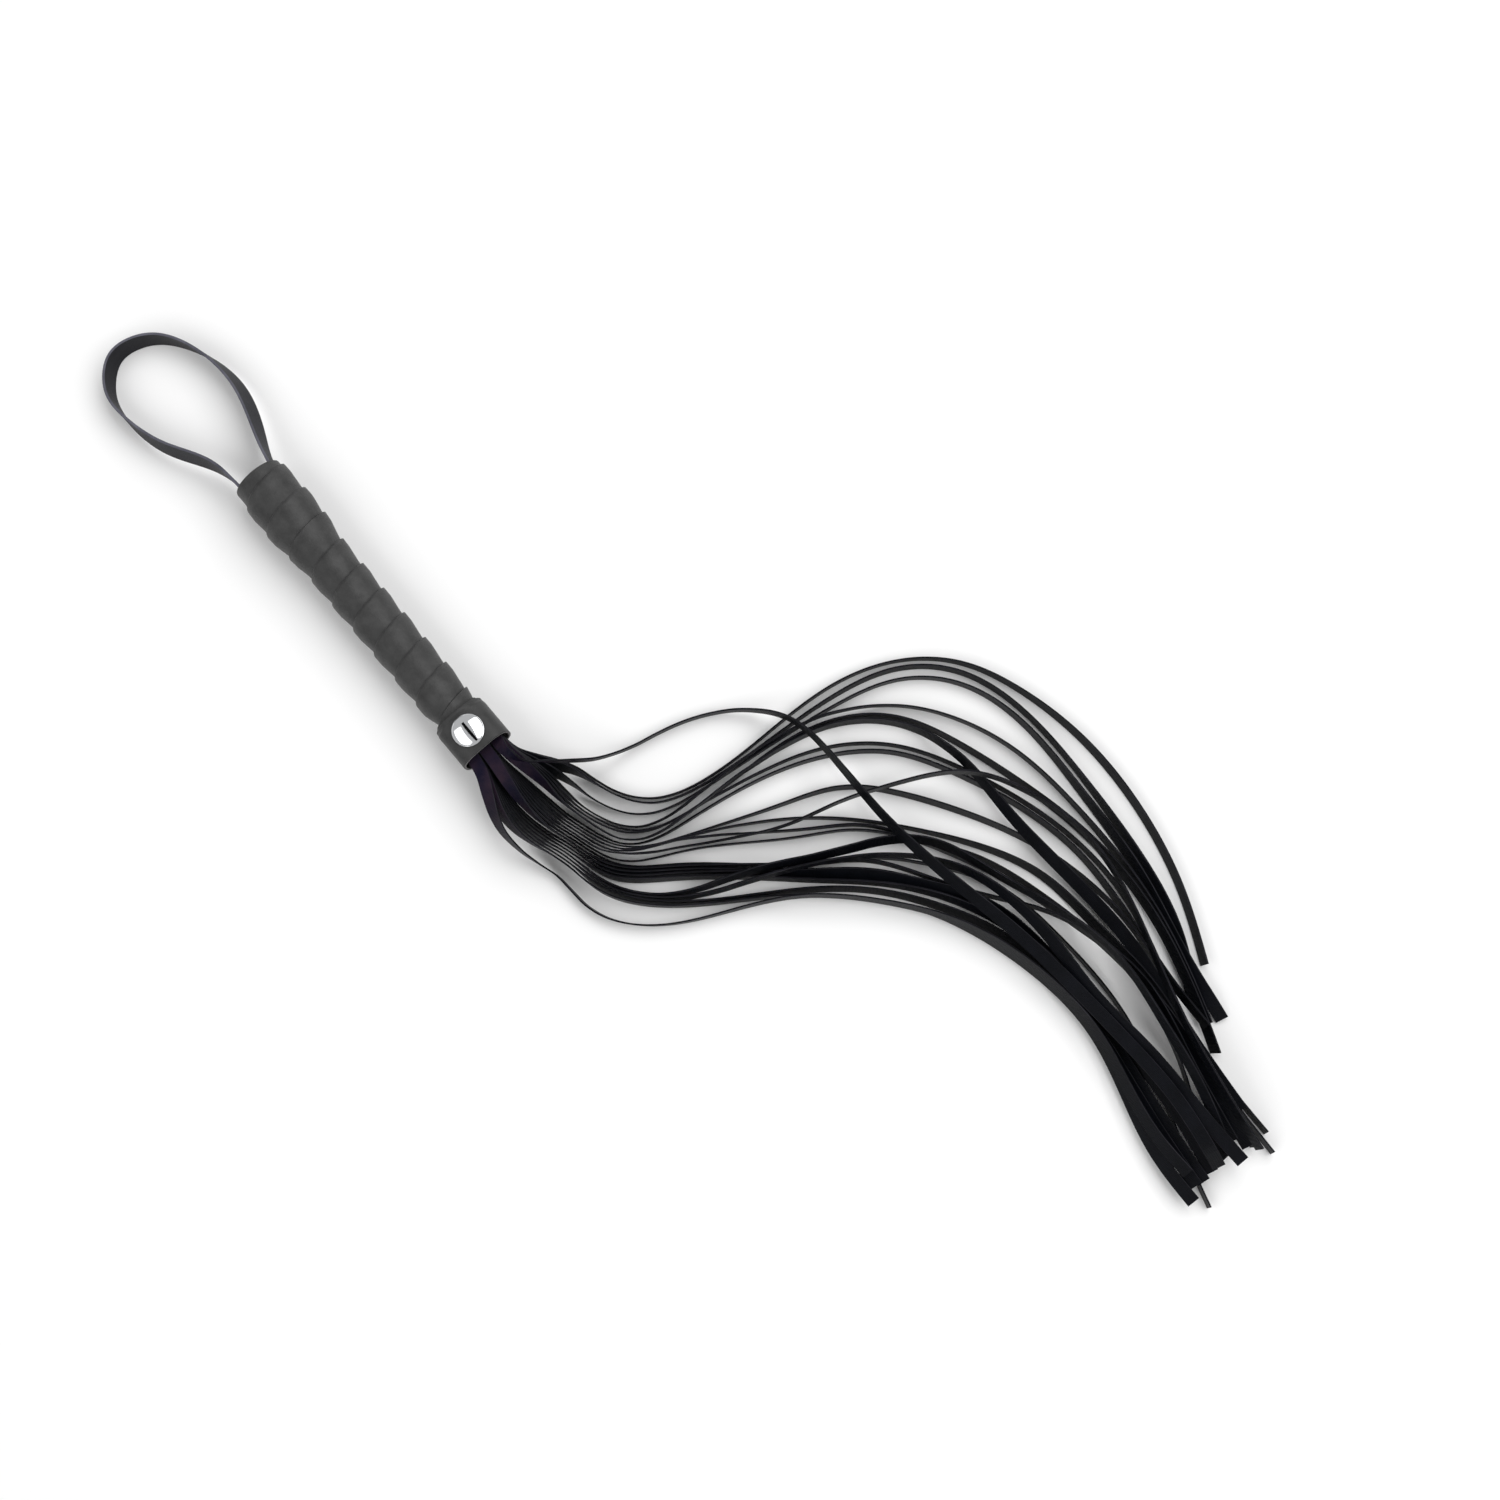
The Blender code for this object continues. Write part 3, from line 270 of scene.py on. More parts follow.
def row_pitch():
    return FALL_THICKNESS + FALL_GAP


def row_height(row):
    """The middle of a row's thickness, from the handle's axis."""
    return (row - (FALL_ROWS - 1) / 2) * row_pitch()


def table_height(roll):
    """The height of a fall's middle when it lies on the table at this roll in degrees."""
    angle = math.radians(roll)
    rise = FALL_WIDTH * abs(math.sin(angle)) + FALL_THICKNESS * abs(math.cos(angle))
    return rise / 2 + LIFT_OFF


def lane_of(column, row):
    """A fall's lane in the bend. The first column's top fall leaves the bundle at once and takes up none."""
    return column * FALL_ROWS + row - min(column, 1)


def lane_shift(lane):
    """How far a lane has moved sideways at the bundle's end, from the room left between the lanes."""
    room = sum(LANE_GAPS.values())
    return room / 2 - sum(gap for after, gap in LANE_GAPS.items() if lane > after) + BUNDLE_SHIFT


def bundle_point(column, row, run):
    """Where a fall is in its column as the column turns on edge: x, y, height and roll."""
    part = run / BUNDLE_LENGTH
    share = float(smooth_step(part))
    roll = BUNDLE_ROLL * share
    sine, cosine = math.sin(math.radians(roll)), math.cos(math.radians(roll))
    loose = 1 + BUNDLE_LOOSENING * share
    stack = (FALL_ROWS - 1) * row_pitch() * loose + FALL_THICKNESS
    broad = FALL_WIDTH * cosine + stack * sine + COLUMN_GAP
    tall = FALL_WIDTH * sine + stack * cosine
    clearance = (AXIS_Z - stack / 2 - LIFT_OFF) * (1 - share)
    middle = LIFT_OFF + clearance + tall / 2
    side = (FALL_COLUMNS - 1) / 2 - column
    offset = row_height(row) * loose
    beside = side * broad + lane_shift(lane_of(column, row)) * share - offset * sine
    turn = BUNDLE_TURN * max(part, 0) ** 2
    ahead = BUNDLE_LENGTH * BUNDLE_TURN * max(part, 0) ** 3 / 3
    x = run - beside * math.sin(turn)
    y = ahead + beside * math.cos(turn)
    return x, y, middle + offset * cosine, roll


def gate_point(gate, lane):
    """Where a lane crosses one of the lines across the bend."""
    outer, inner, groups = gate
    places = []
    for count, first, last in groups:
        places += [first + (last - first) * k / max(count - 1, 1) for k in range(count)]
    share = places[lane] / math.dist(outer, inner)
    return tuple(a + (b - a) * share for a, b in zip(outer, inner))


def fall_stations(index):
    """A fall's stations: middle line in plan, roll, and the height below which it may not come."""
    column, row, route, rolls = FALLS[index]
    points = [bundle_point(column, row, x) for x in (-BAND_RECESS + ROOT_GAP, 0.0)]
    if index < len(FALLS) - 1:
        for k in range(1, BUNDLE_STEPS + 1):
            points.append(bundle_point(column, row, BUNDLE_LENGTH * k / BUNDLE_STEPS))
        route = [gate_point(gate, lane_of(column, row)) for gate in GATES] + route
    plan = np.array([point[:2] for point in points] + [(x * MM, y * MM) for x, y in route])
    along = np.concatenate([[0], np.cumsum(np.linalg.norm(np.diff(plan, axis=0), axis=1))])
    share = along / along[-1]
    last = len(points) - 1
    marks = [share[last], share[last] + TWIST_LENGTH / along[-1], 0.25, 0.5, 0.75, 1]
    marks = np.maximum.accumulate(marks)
    turns = np.interp(share[last + 1 :], marks, (points[last][3], rolls[0], *rolls))
    points += [(x * MM, y * MM, table_height(roll), roll) for (x, y), roll in zip(route, turns)]
    line = spline(points, FALL_STATIONS)
    return line[:, :2], np.radians(line[:, 3]), line[:, 2]


def ring_offsets(roll):
    """The section's four corners as (across, up) from its middle, in order round it."""
    w, t = FALL_WIDTH / 2, FALL_THICKNESS / 2
    across = np.array([-w, w, w, -w])
    up = np.array([-t, -t, t, t])
    sine, cosine = np.sin(roll)[:, None], np.cos(roll)[:, None]
    return across * cosine - up * sine, across * sine + up * cosine


def plan_corners(line, roll):
    """Each station's corners in plan and their heights above the middle."""
    run = np.gradient(line, axis=0)
    run /= np.linalg.norm(run, axis=1)[:, None]
    left = np.stack([-run[:, 1], run[:, 0]], axis=1)
    across, up = ring_offsets(roll)
    return line[:, None, :] + across[:, :, None] * left[:, None, :], up


def dense_surface(plan, up):
    """Points all over each span's skin: positions in plan and heights, one row of points for each span."""
    along = max(2, int(np.ceil(np.linalg.norm(np.diff(plan[:, 0], axis=0), axis=1).max() / DRAPE_CELL)))
    round_it = int(np.ceil(FALL_WIDTH / DRAPE_CELL))
    shares = np.linspace(0, 1, round_it + 1)[:, None]
    ring_plan = [plan[:, j, None] * (1 - shares) + plan[:, (j + 1) % 4, None] * shares for j in range(4)]
    ring_plan = np.concatenate(ring_plan, axis=1)
    ring_up = np.concatenate(
        [up[:, j, None] * (1 - shares[:, 0]) + up[:, (j + 1) % 4, None] * shares[:, 0] for j in range(4)],
        axis=1,
    )
    steps = np.linspace(0, 1, along + 1)
    spans_plan = ring_plan[:-1, None] * (1 - steps)[None, :, None, None]
    spans_plan = spans_plan + ring_plan[1:, None] * steps[None, :, None, None]
    spans_up = ring_up[:-1, None] * (1 - steps)[None, :, None] + ring_up[1:, None] * steps[None, :, None]
    return spans_plan, spans_up, steps


def drape():
    """Lays the falls down one after another, each over those below it, and returns their middle lines."""
    low = np.array([-20 * MM, -60 * MM])
    size = (int(440 * MM / DRAPE_CELL), int(320 * MM / DRAPE_CELL))
    height = np.zeros(size)
    laid = []
    for index in range(len(FALLS)):
        line, roll, least = fall_stations(index)
        plan, up = plan_corners(line, roll)
        spans_plan, spans_up, steps = dense_surface(plan, up)
        cells = np.floor((spans_plan - low) / DRAPE_CELL).astype(int)
        need = np.full(spans_up.shape, 0.0)
        for dx in (-1, 0, 1):
            for dy in (-1, 0, 1):
                need = np.maximum(need, height[cells[..., 0] + dx, cells[..., 1] + dy])
        need = need + np.where(need > 0, DRAPE_GAP, 0) - spans_up
        need = need.reshape(len(need), -1).max(axis=1)
        at_station = np.maximum(np.append(need, need[-1]), np.insert(need, 0, need[0]))
        rise = np.maximum(at_station - least, 0)
        # The root keeps its place in the stack, and a fall spans the dips between what it lies on.
        rise[0] = 0
        for _ in range(DRAPE_PASSES):
            rise[1:-1] = np.maximum(rise[1:-1], (rise[:-2] + rise[2:]) / 2)
        at_station = least + rise
        heights = at_station[:-1, None] * (1 - steps) + at_station[1:, None] * steps
        top = heights[:, :, None] + spans_up
        np.maximum.at(height, (cells[..., 0].ravel(), cells[..., 1].ravel()), top.ravel())
        laid.append((line, roll, at_station))
    return laid


# Where the cuff's mouth is in the row frame
CUFF_LOW, CUFF_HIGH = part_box("cuff")
MOUTH = Vector((CUFF_HIGH[0], (CUFF_LOW[1] + CUFF_HIGH[1]) / 2, 0))
AXIS = Vector((0, 0, AXIS_Z))


def node_tree(name):
    made = bpy.data.materials.new(name)
    made.use_nodes = True
    tree = made.node_tree
    return made, tree, tree.nodes["Principled BSDF"]


def add_node(tree, kind, **values):
    node = tree.nodes.new(kind)
    for key, value in values.items():
        if key in node.inputs:
            node.inputs[key].default_value = value
        else:
            setattr(node, key, value)
    return node


def ramp(tree, source, stops):
    node = tree.nodes.new("ShaderNodeValToRGB")
    while len(node.color_ramp.elements) < len(stops):
        node.color_ramp.elements.new(0.5)
    for element, (place, colour) in zip(node.color_ramp.elements, stops):
        element.position = place
        element.color = (*colour, 1)
    tree.links.new(source, node.inputs[0])
    return node.outputs["Color"]


def grey(value):
    return (value, value, value)


def leather(name, dark, light, rough, grain, depth, crease=0.0, shine=0.5, patches=60.0):
    """Leather with pebble grain, longer creases and uneven colour; grain is its cell size in metres."""
    made, tree, shader = node_tree(name)
    links = tree.links
    where = add_node(tree, "ShaderNodeTexCoord")
    mapping = add_node(tree, "ShaderNodeMapping")
    links.new(where.outputs["Object"], mapping.inputs["Vector"])
    pebbles = add_node(tree, "ShaderNodeTexVoronoi", Scale=1 / grain, Randomness=0.9)
    pebbles.feature = "SMOOTH_F1"
    links.new(mapping.outputs[0], pebbles.inputs["Vector"])
    fine = add_node(tree, "ShaderNodeTexNoise", Scale=2.2 / grain, Detail=4.0, Roughness=0.6)
    links.new(mapping.outputs[0], fine.inputs["Vector"])
    broad = add_node(tree, "ShaderNodeTexNoise", Scale=patches, Detail=5.0, Roughness=0.6)
    links.new(where.outputs["Object"], broad.inputs["Vector"])
    creases = add_node(tree, "ShaderNodeTexNoise", Scale=0.25 / grain, Detail=6.0, Roughness=0.7)
    creases.inputs["Distortion"].default_value = 1.5
    links.new(mapping.outputs[0], creases.inputs["Vector"])
    links.new(ramp(tree, broad.outputs["Fac"], [(0.3, dark), (0.7, light)]), shader.inputs["Base Color"])
    links.new(
        ramp(tree, fine.outputs["Fac"], [(0.3, grey(rough - 0.08)), (0.7, grey(rough + 0.08))]),
        shader.inputs["Roughness"],
    )
    first = add_node(tree, "ShaderNodeBump", Strength=1.0, Distance=depth)
    links.new(pebbles.outputs["Distance"], first.inputs["Height"])
    second = add_node(tree, "ShaderNodeBump", Strength=1.0, Distance=depth * 0.6)
    links.new(fine.outputs["Fac"], second.inputs["Height"])
    links.new(first.outputs["Normal"], second.inputs["Normal"])
    last = second
    if crease:
        third = add_node(tree, "ShaderNodeBump", Strength=1.0, Distance=crease)
        links.new(creases.outputs["Fac"], third.inputs["Height"])
        links.new(second.outputs["Normal"], third.inputs["Normal"])
        last = third
    links.new(last.outputs["Normal"], shader.inputs["Normal"])
    shader.inputs["Specular IOR Level"].default_value = shine
    return made


def strip_leather(name, dark, light, rough, ribs, shine, painted_sheen=None):
    """A fall's grain side: fine ribs across it and, if given, a lighter purplish painted sheen close to the
    cuff that fades away along the strip.
    """
    made, tree, shader = node_tree(name)
    links = tree.links
    uv = add_node(tree, "ShaderNodeUVMap", uv_map="strip")
    waves = add_node(tree, "ShaderNodeTexWave", Scale=1 / ribs / math.tau * 3.14, Distortion=1.2, Detail=2.0)
    waves.bands_direction = "X"
    links.new(uv.outputs["UV"], waves.inputs["Vector"])
    where = add_node(tree, "ShaderNodeTexCoord")
    grain = add_node(tree, "ShaderNodeTexNoise", Scale=2600.0, Detail=3.0, Roughness=0.6)
    links.new(where.outputs["Object"], grain.inputs["Vector"])
    broad = add_node(tree, "ShaderNodeTexNoise", Scale=90.0, Detail=4.0, Roughness=0.6)
    links.new(where.outputs["Object"], broad.inputs["Vector"])
    colour = ramp(tree, broad.outputs["Fac"], [(0.3, dark), (0.72, light)])
    # Painted sheen: a lighter purplish colour mixed in over the first few centimetres from the cuff,
    # standing for light on the flat faces there.
    if painted_sheen:
        parts = add_node(tree, "ShaderNodeSeparateXYZ")
        links.new(uv.outputs["UV"], parts.inputs[0])
        sheen_mask = add_node(tree, "ShaderNodeMapRange")
        sheen_mask.inputs["From Min"].default_value = 0.004
        sheen_mask.inputs["From Max"].default_value = 0.075
        sheen_mask.inputs["To Min"].default_value = 1.0
        sheen_mask.inputs["To Max"].default_value = 0.0
        sheen_mask.interpolation_type = "SMOOTHSTEP"
        links.new(parts.outputs["X"], sheen_mask.inputs["Value"])
        mix = add_node(tree, "ShaderNodeMix", data_type="RGBA")
        links.new(sheen_mask.outputs[0], mix.inputs[0])
        links.new(colour, mix.inputs[6])
        sheen_colour = ramp(tree, broad.outputs["Fac"], [(0.35, painted_sheen[0]), (0.65, painted_sheen[1])])
        links.new(sheen_colour, mix.inputs[7])
        colour = mix.outputs[2]
    links.new(colour, shader.inputs["Base Color"])
    links.new(
        ramp(tree, grain.outputs["Fac"], [(0.3, grey(rough - 0.07)), (0.7, grey(rough + 0.07))]),
        shader.inputs["Roughness"],
    )
    first = add_node(tree, "ShaderNodeBump", Strength=1.0, Distance=0.00018)
    links.new(waves.outputs["Fac"], first.inputs["Height"])
    second = add_node(tree, "ShaderNodeBump", Strength=1.0, Distance=0.00006)
    links.new(grain.outputs["Fac"], second.inputs["Height"])
    links.new(first.outputs["Normal"], second.inputs["Normal"])
    links.new(second.outputs["Normal"], shader.inputs["Normal"])
    shader.inputs["Specular IOR Level"].default_value = shine
    return made


def metal(name, colour, rough, scratch):
    made, tree, shader = node_tree(name)
    links = tree.links
    where = add_node(tree, "ShaderNodeTexCoord")
    marks = add_node(tree, "ShaderNodeTexNoise", Scale=900.0, Detail=6.0, Roughness=0.7)
    links.new(where.outputs["Object"], marks.inputs["Vector"])
    shader.inputs["Metallic"].default_value = 1.0
    shader.inputs["Base Color"].default_value = (*colour, 1)
    links.new(
        ramp(tree, marks.outputs["Fac"], [(0.35, grey(rough)), (0.75, grey(rough + scratch))]),
        shader.inputs["Roughness"],
    )
    bump = add_node(tree, "ShaderNodeBump", Strength=0.4, Distance=0.00001)
    links.new(marks.outputs["Fac"], bump.inputs["Height"])
    links.new(bump.outputs["Normal"], shader.inputs["Normal"])
    return made


def wood(name):
    made, tree, shader = node_tree(name)
    links = tree.links
    where = add_node(tree, "ShaderNodeTexCoord")
    mapping = add_node(tree, "ShaderNodeMapping")
    mapping.inputs["Scale"].default_value = (8, 90, 90)
    links.new(where.outputs["Object"], mapping.inputs["Vector"])
    grain = add_node(tree, "ShaderNodeTexNoise", Scale=4.0, Detail=8.0, Roughness=0.65)
    links.new(mapping.outputs[0], grain.inputs["Vector"])
    stops = [(0.3, (0.28, 0.17, 0.08)), (0.7, (0.50, 0.34, 0.19))]
    links.new(ramp(tree, grain.outputs["Fac"], stops), shader.inputs["Base Color"])
    shader.inputs["Roughness"].default_value = 0.6
    bump = add_node(tree, "ShaderNodeBump", Strength=0.5, Distance=0.0002)
    links.new(grain.outputs["Fac"], bump.inputs["Height"])
    links.new(bump.outputs["Normal"], shader.inputs["Normal"])
    return made


WRAP = leather("wrap_leather", grey(0.016), grey(0.036), 0.48, 0.00055, 0.00005, 0.00022, 0.42, 150.0)
WRAP_EDGE = leather("wrap_edge", grey(0.04), grey(0.08), 0.75, 0.0004, 0.00004, shine=0.3)
CUFF = leather("cuff_leather", grey(0.020), grey(0.034), 0.52, 0.0006, 0.00005, 0.00012, 0.35, 150.0)
CUT_EDGE = leather("cut_edge", (0.12, 0.115, 0.115), (0.30, 0.29, 0.29), 0.8, 0.0003, 0.00006, shine=0.3)
LINER = leather("liner_leather", grey(0.02), grey(0.05), 0.7, 0.0003, 0.00006, shine=0.3)
LOOP = leather(
    "strap_leather", (0.0035, 0.0035, 0.006), (0.0075, 0.0075, 0.012), 0.5, 0.0005, 0.00004, 0.0001, 0.16
)
LOOP_EDGE = leather("strap_edge", (0.05, 0.05, 0.065), (0.13, 0.13, 0.16), 0.7, 0.0003, 0.00004, shine=0.2)
FALL_DARK = (0.0014, 0.0018, 0.0030)
FALL_LIGHT = (0.0036, 0.0042, 0.0068)
FALL = strip_leather("fall_leather", FALL_DARK, FALL_LIGHT, 0.45, 0.0011, 0.12)
# Painted sheen: lighter purplish colours for the top two rows of falls close to the cuff, where their flat
# faces take the light.
FALL_PAINTED_SHEEN = ((0.006, 0.005, 0.018), (0.026, 0.014, 0.026))
FALL_WITH_PAINTED_SHEEN = strip_leather("fall_leather_painted_sheen", FALL_DARK, FALL_LIGHT, 0.45, 0.0011, 0.12, FALL_PAINTED_SHEEN)
FALL_SIDE = leather(
    "fall_side", (0.0015, 0.0015, 0.0025), (0.006, 0.006, 0.009), 0.7, 0.0003, 0.00004, shine=0.08
)
FALL_RIM = leather(
    "fall_rim", (0.003, 0.003, 0.005), (0.030, 0.029, 0.036), 0.6, 0.0004, 0.00004, shine=0.15
)
CHROME = metal("rivet_chrome", (0.83, 0.84, 0.86), 0.04, 0.05)
STEEL = metal("tack_steel", (0.52, 0.52, 0.53), 0.28, 0.12)
WOOD = wood("core_wood")


def tube(name, rings, materials, sides, lengths=None, closed=False, smooth_angle=35):
    """A skin through rings of points, with a material for each side of the ring, and its strip map."""
    count = len(rings[0])
    points = [tuple(p) for ring in rings for p in ring]
    faces, which = [], []
    for i in range(len(rings) - 1):
        a, b = i * count, (i + 1) * count
        for j in range(count):
            k = (j + 1) % count
            faces.append((a + j, a + k, b + k, b + j))
            which.append(sides[j])
    if not closed:
        faces.append(tuple(reversed(range(count))))
        faces.append(tuple(range(len(points) - count, len(points))))
        which += [sides[-1], sides[-1]]
    mesh = bpy.data.meshes.new(name)
    mesh.from_pydata(points, [], faces)
    for look in materials:
        mesh.materials.append(look)
    for polygon, index in zip(mesh.polygons, which):
        polygon.material_index = index
        polygon.use_smooth = True
    strip = mesh.uv_layers.new(name="strip")
    round_it = [0.0]
    for j in range(count):
        p, q = np.array(rings[0][j]), np.array(rings[0][(j + 1) % count])
        round_it.append(round_it[-1] + float(np.linalg.norm(q - p)))
    if lengths is None:
        lengths = np.linspace(0, 0.1, len(rings))
    for polygon in mesh.polygons:
        corners = [mesh.loops[l].vertex_index for l in polygon.loop_indices]
        wraps = max(c % count for c in corners) == count - 1 and min(c % count for c in corners) == 0
        for l, corner in zip(polygon.loop_indices, corners):
            j = corner % count
            across = round_it[count] if wraps and j == 0 and len(corners) == 4 else round_it[j]
            strip.data[l].uv = (float(lengths[corner // count]), across)
    bm = bmesh.new()
    bm.from_mesh(mesh)
    bmesh.ops.recalc_face_normals(bm, faces=bm.faces)
    bm.to_mesh(mesh)
    bm.free()
    mesh.set_sharp_from_angle(angle=math.radians(smooth_angle))
    obj = bpy.data.objects.new(name, mesh)
    bpy.context.scene.collection.objects.link(obj)
    return obj


# The camera, which looks down at the crop

VIEW_TILT = math.radians(9.0)
VIEW_SPIN = math.radians(49.2347)
VIEW_FROM_MOUTH = (0.30026, 0.09861, 1.37154)


def make_camera():
    across = np.array([math.cos(VIEW_TILT), 0, -math.sin(VIEW_TILT)])
    sideways = np.array([0, 1, 0])
    right = math.cos(VIEW_SPIN) * across + math.sin(VIEW_SPIN) * sideways
    down = math.sin(VIEW_SPIN) * across - math.cos(VIEW_SPIN) * sideways
    ahead = np.array([-math.sin(VIEW_TILT), 0, -math.cos(VIEW_TILT)])
    data = bpy.data.cameras.new("camera")
    data.lens = 67.2
    data.sensor_width = 36.0
    data.clip_start = 0.05
    camera = bpy.data.objects.new("camera", data)
    bpy.context.scene.collection.objects.link(camera)
    matrix = np.eye(4)
    matrix[:3, 0], matrix[:3, 1], matrix[:3, 2] = right, -down, -ahead
    matrix[:3, 3] = np.array(VIEW_FROM_MOUTH) + np.array(MOUTH)
    camera.matrix_world = Matrix(matrix.tolist())
    bpy.context.scene.camera = camera


def fine_line(values, factor):
    """Evenly finer samples of a smooth curve through evenly spaced rows of values."""
    count = len(values)
    places = np.linspace(0, count - 1, (count - 1) * factor + 1)
    i = np.clip(places.astype(int), 0, count - 2)
    t = (places - i)[:, None]
    before, after = values[np.clip(i - 1, 0, count - 1)], values[np.clip(i + 2, 0, count - 1)]
    here, there = values[i], values[i + 1]
    slope_a, slope_b = (there - before) / 2, (after - here) / 2
    hermite = (2 * t**3 - 3 * t**2 + 1) * here + (t**3 - 2 * t**2 + t) * slope_a
    return hermite + (-2 * t**3 + 3 * t**2) * there + (t**3 - t**2) * slope_b


def make_falls():
    corner = 0.18 * MM
    w, t = FALL_WIDTH / 2, FALL_THICKNESS / 2
    outline = np.array(
        [
            (-w + corner, -t),
            (w - corner, -t),
            (w, -t + corner),
            (w, t - corner),
            (w - corner, t),
            (-w + corner, t),
            (-w, t - corner),
            (-w, -t + corner),
        ]
    )
    for index, (line, roll, middle) in enumerate(drape()):
        values = np.column_stack([line, middle, roll])
        values = fine_line(values, 4)
        run = np.gradient(values[:, :3], axis=0)
        run /= np.linalg.norm(run, axis=1)[:, None]
        left = np.stack([-run[:, 1], run[:, 0], np.zeros(len(run))], axis=1)
        left /= np.linalg.norm(left, axis=1)[:, None]
        up = np.cross(run, left)
        cosine, sine = np.cos(values[:, 3])[:, None], np.sin(values[:, 3])[:, None]
        across = left * cosine + up * sine
        through = -left * sine + up * cosine
        middle_line = values[:, :3] + np.array(MOUTH)
        rings = [
            [middle_line[i] + across[i] * a + through[i] * b for a, b in outline]
            for i in range(len(middle_line))
        ]
        lengths = np.concatenate([[0], np.cumsum(np.linalg.norm(np.diff(middle_line, axis=0), axis=1))])
        # The top two rows of falls take the material with the painted sheen close to the cuff.
        top_of_stack = FALLS[index][1] >= FALL_ROWS - 2
        name = f"fall_{index + 1:02d}_strip"
        looks = [FALL_WITH_PAINTED_SHEEN if top_of_stack else FALL, FALL_RIM, FALL_SIDE]
        piece = tube(name, rings, looks, (0, 1, 2, 1, 0, 1, 2, 1), lengths)
        node = f"fall_{index + 1:02d}"
        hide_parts(node)
        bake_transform(piece)


def make_loop():
    exit_y = STRAP_SEAT + STRAP_THICKNESS / 2
    scale = (MM, MM, MM, math.pi / 180)
    route = [tuple(v * k for v, k in zip(point, scale)) for point in LOOP_ROUTE]
    line = spline([(-GAP, -exit_y, AXIS_Z, 0), *route, (-GAP, exit_y, AXIS_Z, 0)], LOOP_STATIONS * 4)
    run = np.gradient(line[:, :2], axis=0)
    run[0], run[-1] = (-1, 0), (1, 0)
    run /= np.linalg.norm(run, axis=1)[:, None]
    t = STRAP_THICKNESS / 2
    corner = 0.25 * MM
    rings = []
    for (x, y, z, lean), (run_x, run_y) in zip(line, run):
        w = (TAB_WIDTH + (STRAP_WIDTH - TAB_WIDTH) * float(smooth_step(-x / TAB_TAPER))) / 2
        out = np.array([-run_y, run_x, 0]) * LOOP_SIDE
        across = np.array([0, 0, math.cos(lean)]) + out * math.sin(lean)
        through = out * math.cos(lean) - np.array([0, 0, math.sin(lean)])
        middle = np.array([BUTT_X + x, y, z]) + np.array(MOUTH)
        outline = (
            (-w + corner, -t),
            (w - corner, -t),
            (w, -t + corner),
            (w, t - corner),
            (w - corner, t),
            (-w + corner, t),
            (-w, t - corner),
            (-w, -t + corner),
        )
        rings.append([middle + across * a + through * b for a, b in outline])
    lengths = np.concatenate([[0], np.cumsum(np.linalg.norm(np.diff(line[:, :3], axis=0), axis=1))])
    piece = tube("wrist_loop_strap", rings, [LOOP, LOOP_EDGE], (0, 1, 1, 1, 0, 1, 1, 1), lengths)
    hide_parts("wrist_loop")
    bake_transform(piece)


def wrap_ring(x, angle, edge):
    """The wrap's section at one angle, its two edges rounded."""
    width = WRAP_PITCH + WRAP_OVERLAP
    last = HANDLE_LENGTH - CUFF_LENGTH + WRAP_GRIP
    first_u, last_u = max(0.0, -x), min(width, last - x)
    begun = float(np.clip((x + WRAP_OVERLAP) / (WRAP_OVERLAP * WRAP_START), 0, 1))
    places = [0, 0.35, 0.7, 1, 1.25, 1.5, 1.75]
    marks = [WRAP_OVERLAP * p for p in places] + [WRAP_PITCH * 0.75, WRAP_PITCH * 0.9, WRAP_PITCH, width]
    marks = np.clip(marks, first_u, last_u)
    step = 0.02 * MM
    for i in range(1, len(marks)):
        marks[i] = max(marks[i], marks[i - 1] + step)
    for i in range(len(marks) - 1, -1, -1):
        marks[i] = min(marks[i], last_u - step * (len(marks) - 1 - i))
    inner, outer = [], []
    for u in marks:
        down = float(np.clip((u - WRAP_OVERLAP) / WRAP_SLOPE, 0, 1))
        radius = base_radius(x + u) + (1 - down) * (WRAP_THICKNESS + GAP) * begun
        inner.append((x + u, radius))
        outer.append((x + u, radius + WRAP_THICKNESS))
    soft = min(edge, (last_u - first_u) / 4)
    first_outer = (outer[0][0], outer[0][1] - edge)
    outer[0] = (outer[0][0] + soft, outer[0][1])
    last_outer = (outer[-1][0], outer[-1][1] - edge)
    outer[-1] = (outer[-1][0] - soft, outer[-1][1])
    outer = [first_outer, *outer, last_outer]
    for i in range(1, len(outer)):
        outer[i] = (max(outer[i][0], outer[i - 1][0]), outer[i][1])
    ring = inner + outer[::-1]
    place = MOUTH + AXIS
    return [
        (place.x + BUTT_X + s, place.y - r * math.sin(angle), place.z + r * math.cos(angle))
        for s, r in ring
    ]


def make_wrap():
    segments = 64
    width = WRAP_PITCH + WRAP_OVERLAP
    last = HANDLE_LENGTH - CUFF_LENGTH + WRAP_GRIP
    first = math.ceil((WRAP_SHORTEST - width) / WRAP_PITCH * segments)
    final = math.floor((last - WRAP_SHORTEST) / WRAP_PITCH * segments)
    rings = []
    for k in range(first, final + 1):
        x = WRAP_PITCH * k / segments
        rings.append(wrap_ring(x, WRAP_START_ANGLE + 2 * math.pi * k / segments, 0.3 * MM))
    count = len(rings[0])
    marks = (count - 2) // 2
    sides = [0] * count
    sides[marks - 1] = 1
    sides[count - 1] = 1
    piece = tube("grip_wrap_strip", rings, [WRAP, WRAP_EDGE], sides, smooth_angle=50)
    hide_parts("grip_wrap")
    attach(piece, "handle")


def cuff_point(angle, flat, thickness):
    sine, cosine = math.sin(angle), math.cos(angle)
    radius = CUFF_RADIUS - thickness
    half_width = CUFF_HALF_WIDTH - thickness
    half_height = CUFF_HALF_HEIGHT - thickness
    n = CUFF_SQUARENESS
    reach = (abs(sine / half_width) ** n + abs(cosine / half_height) ** n) ** (-1 / n)
    r = radius + (reach - radius) * flat
    return r * sine, r * cosine


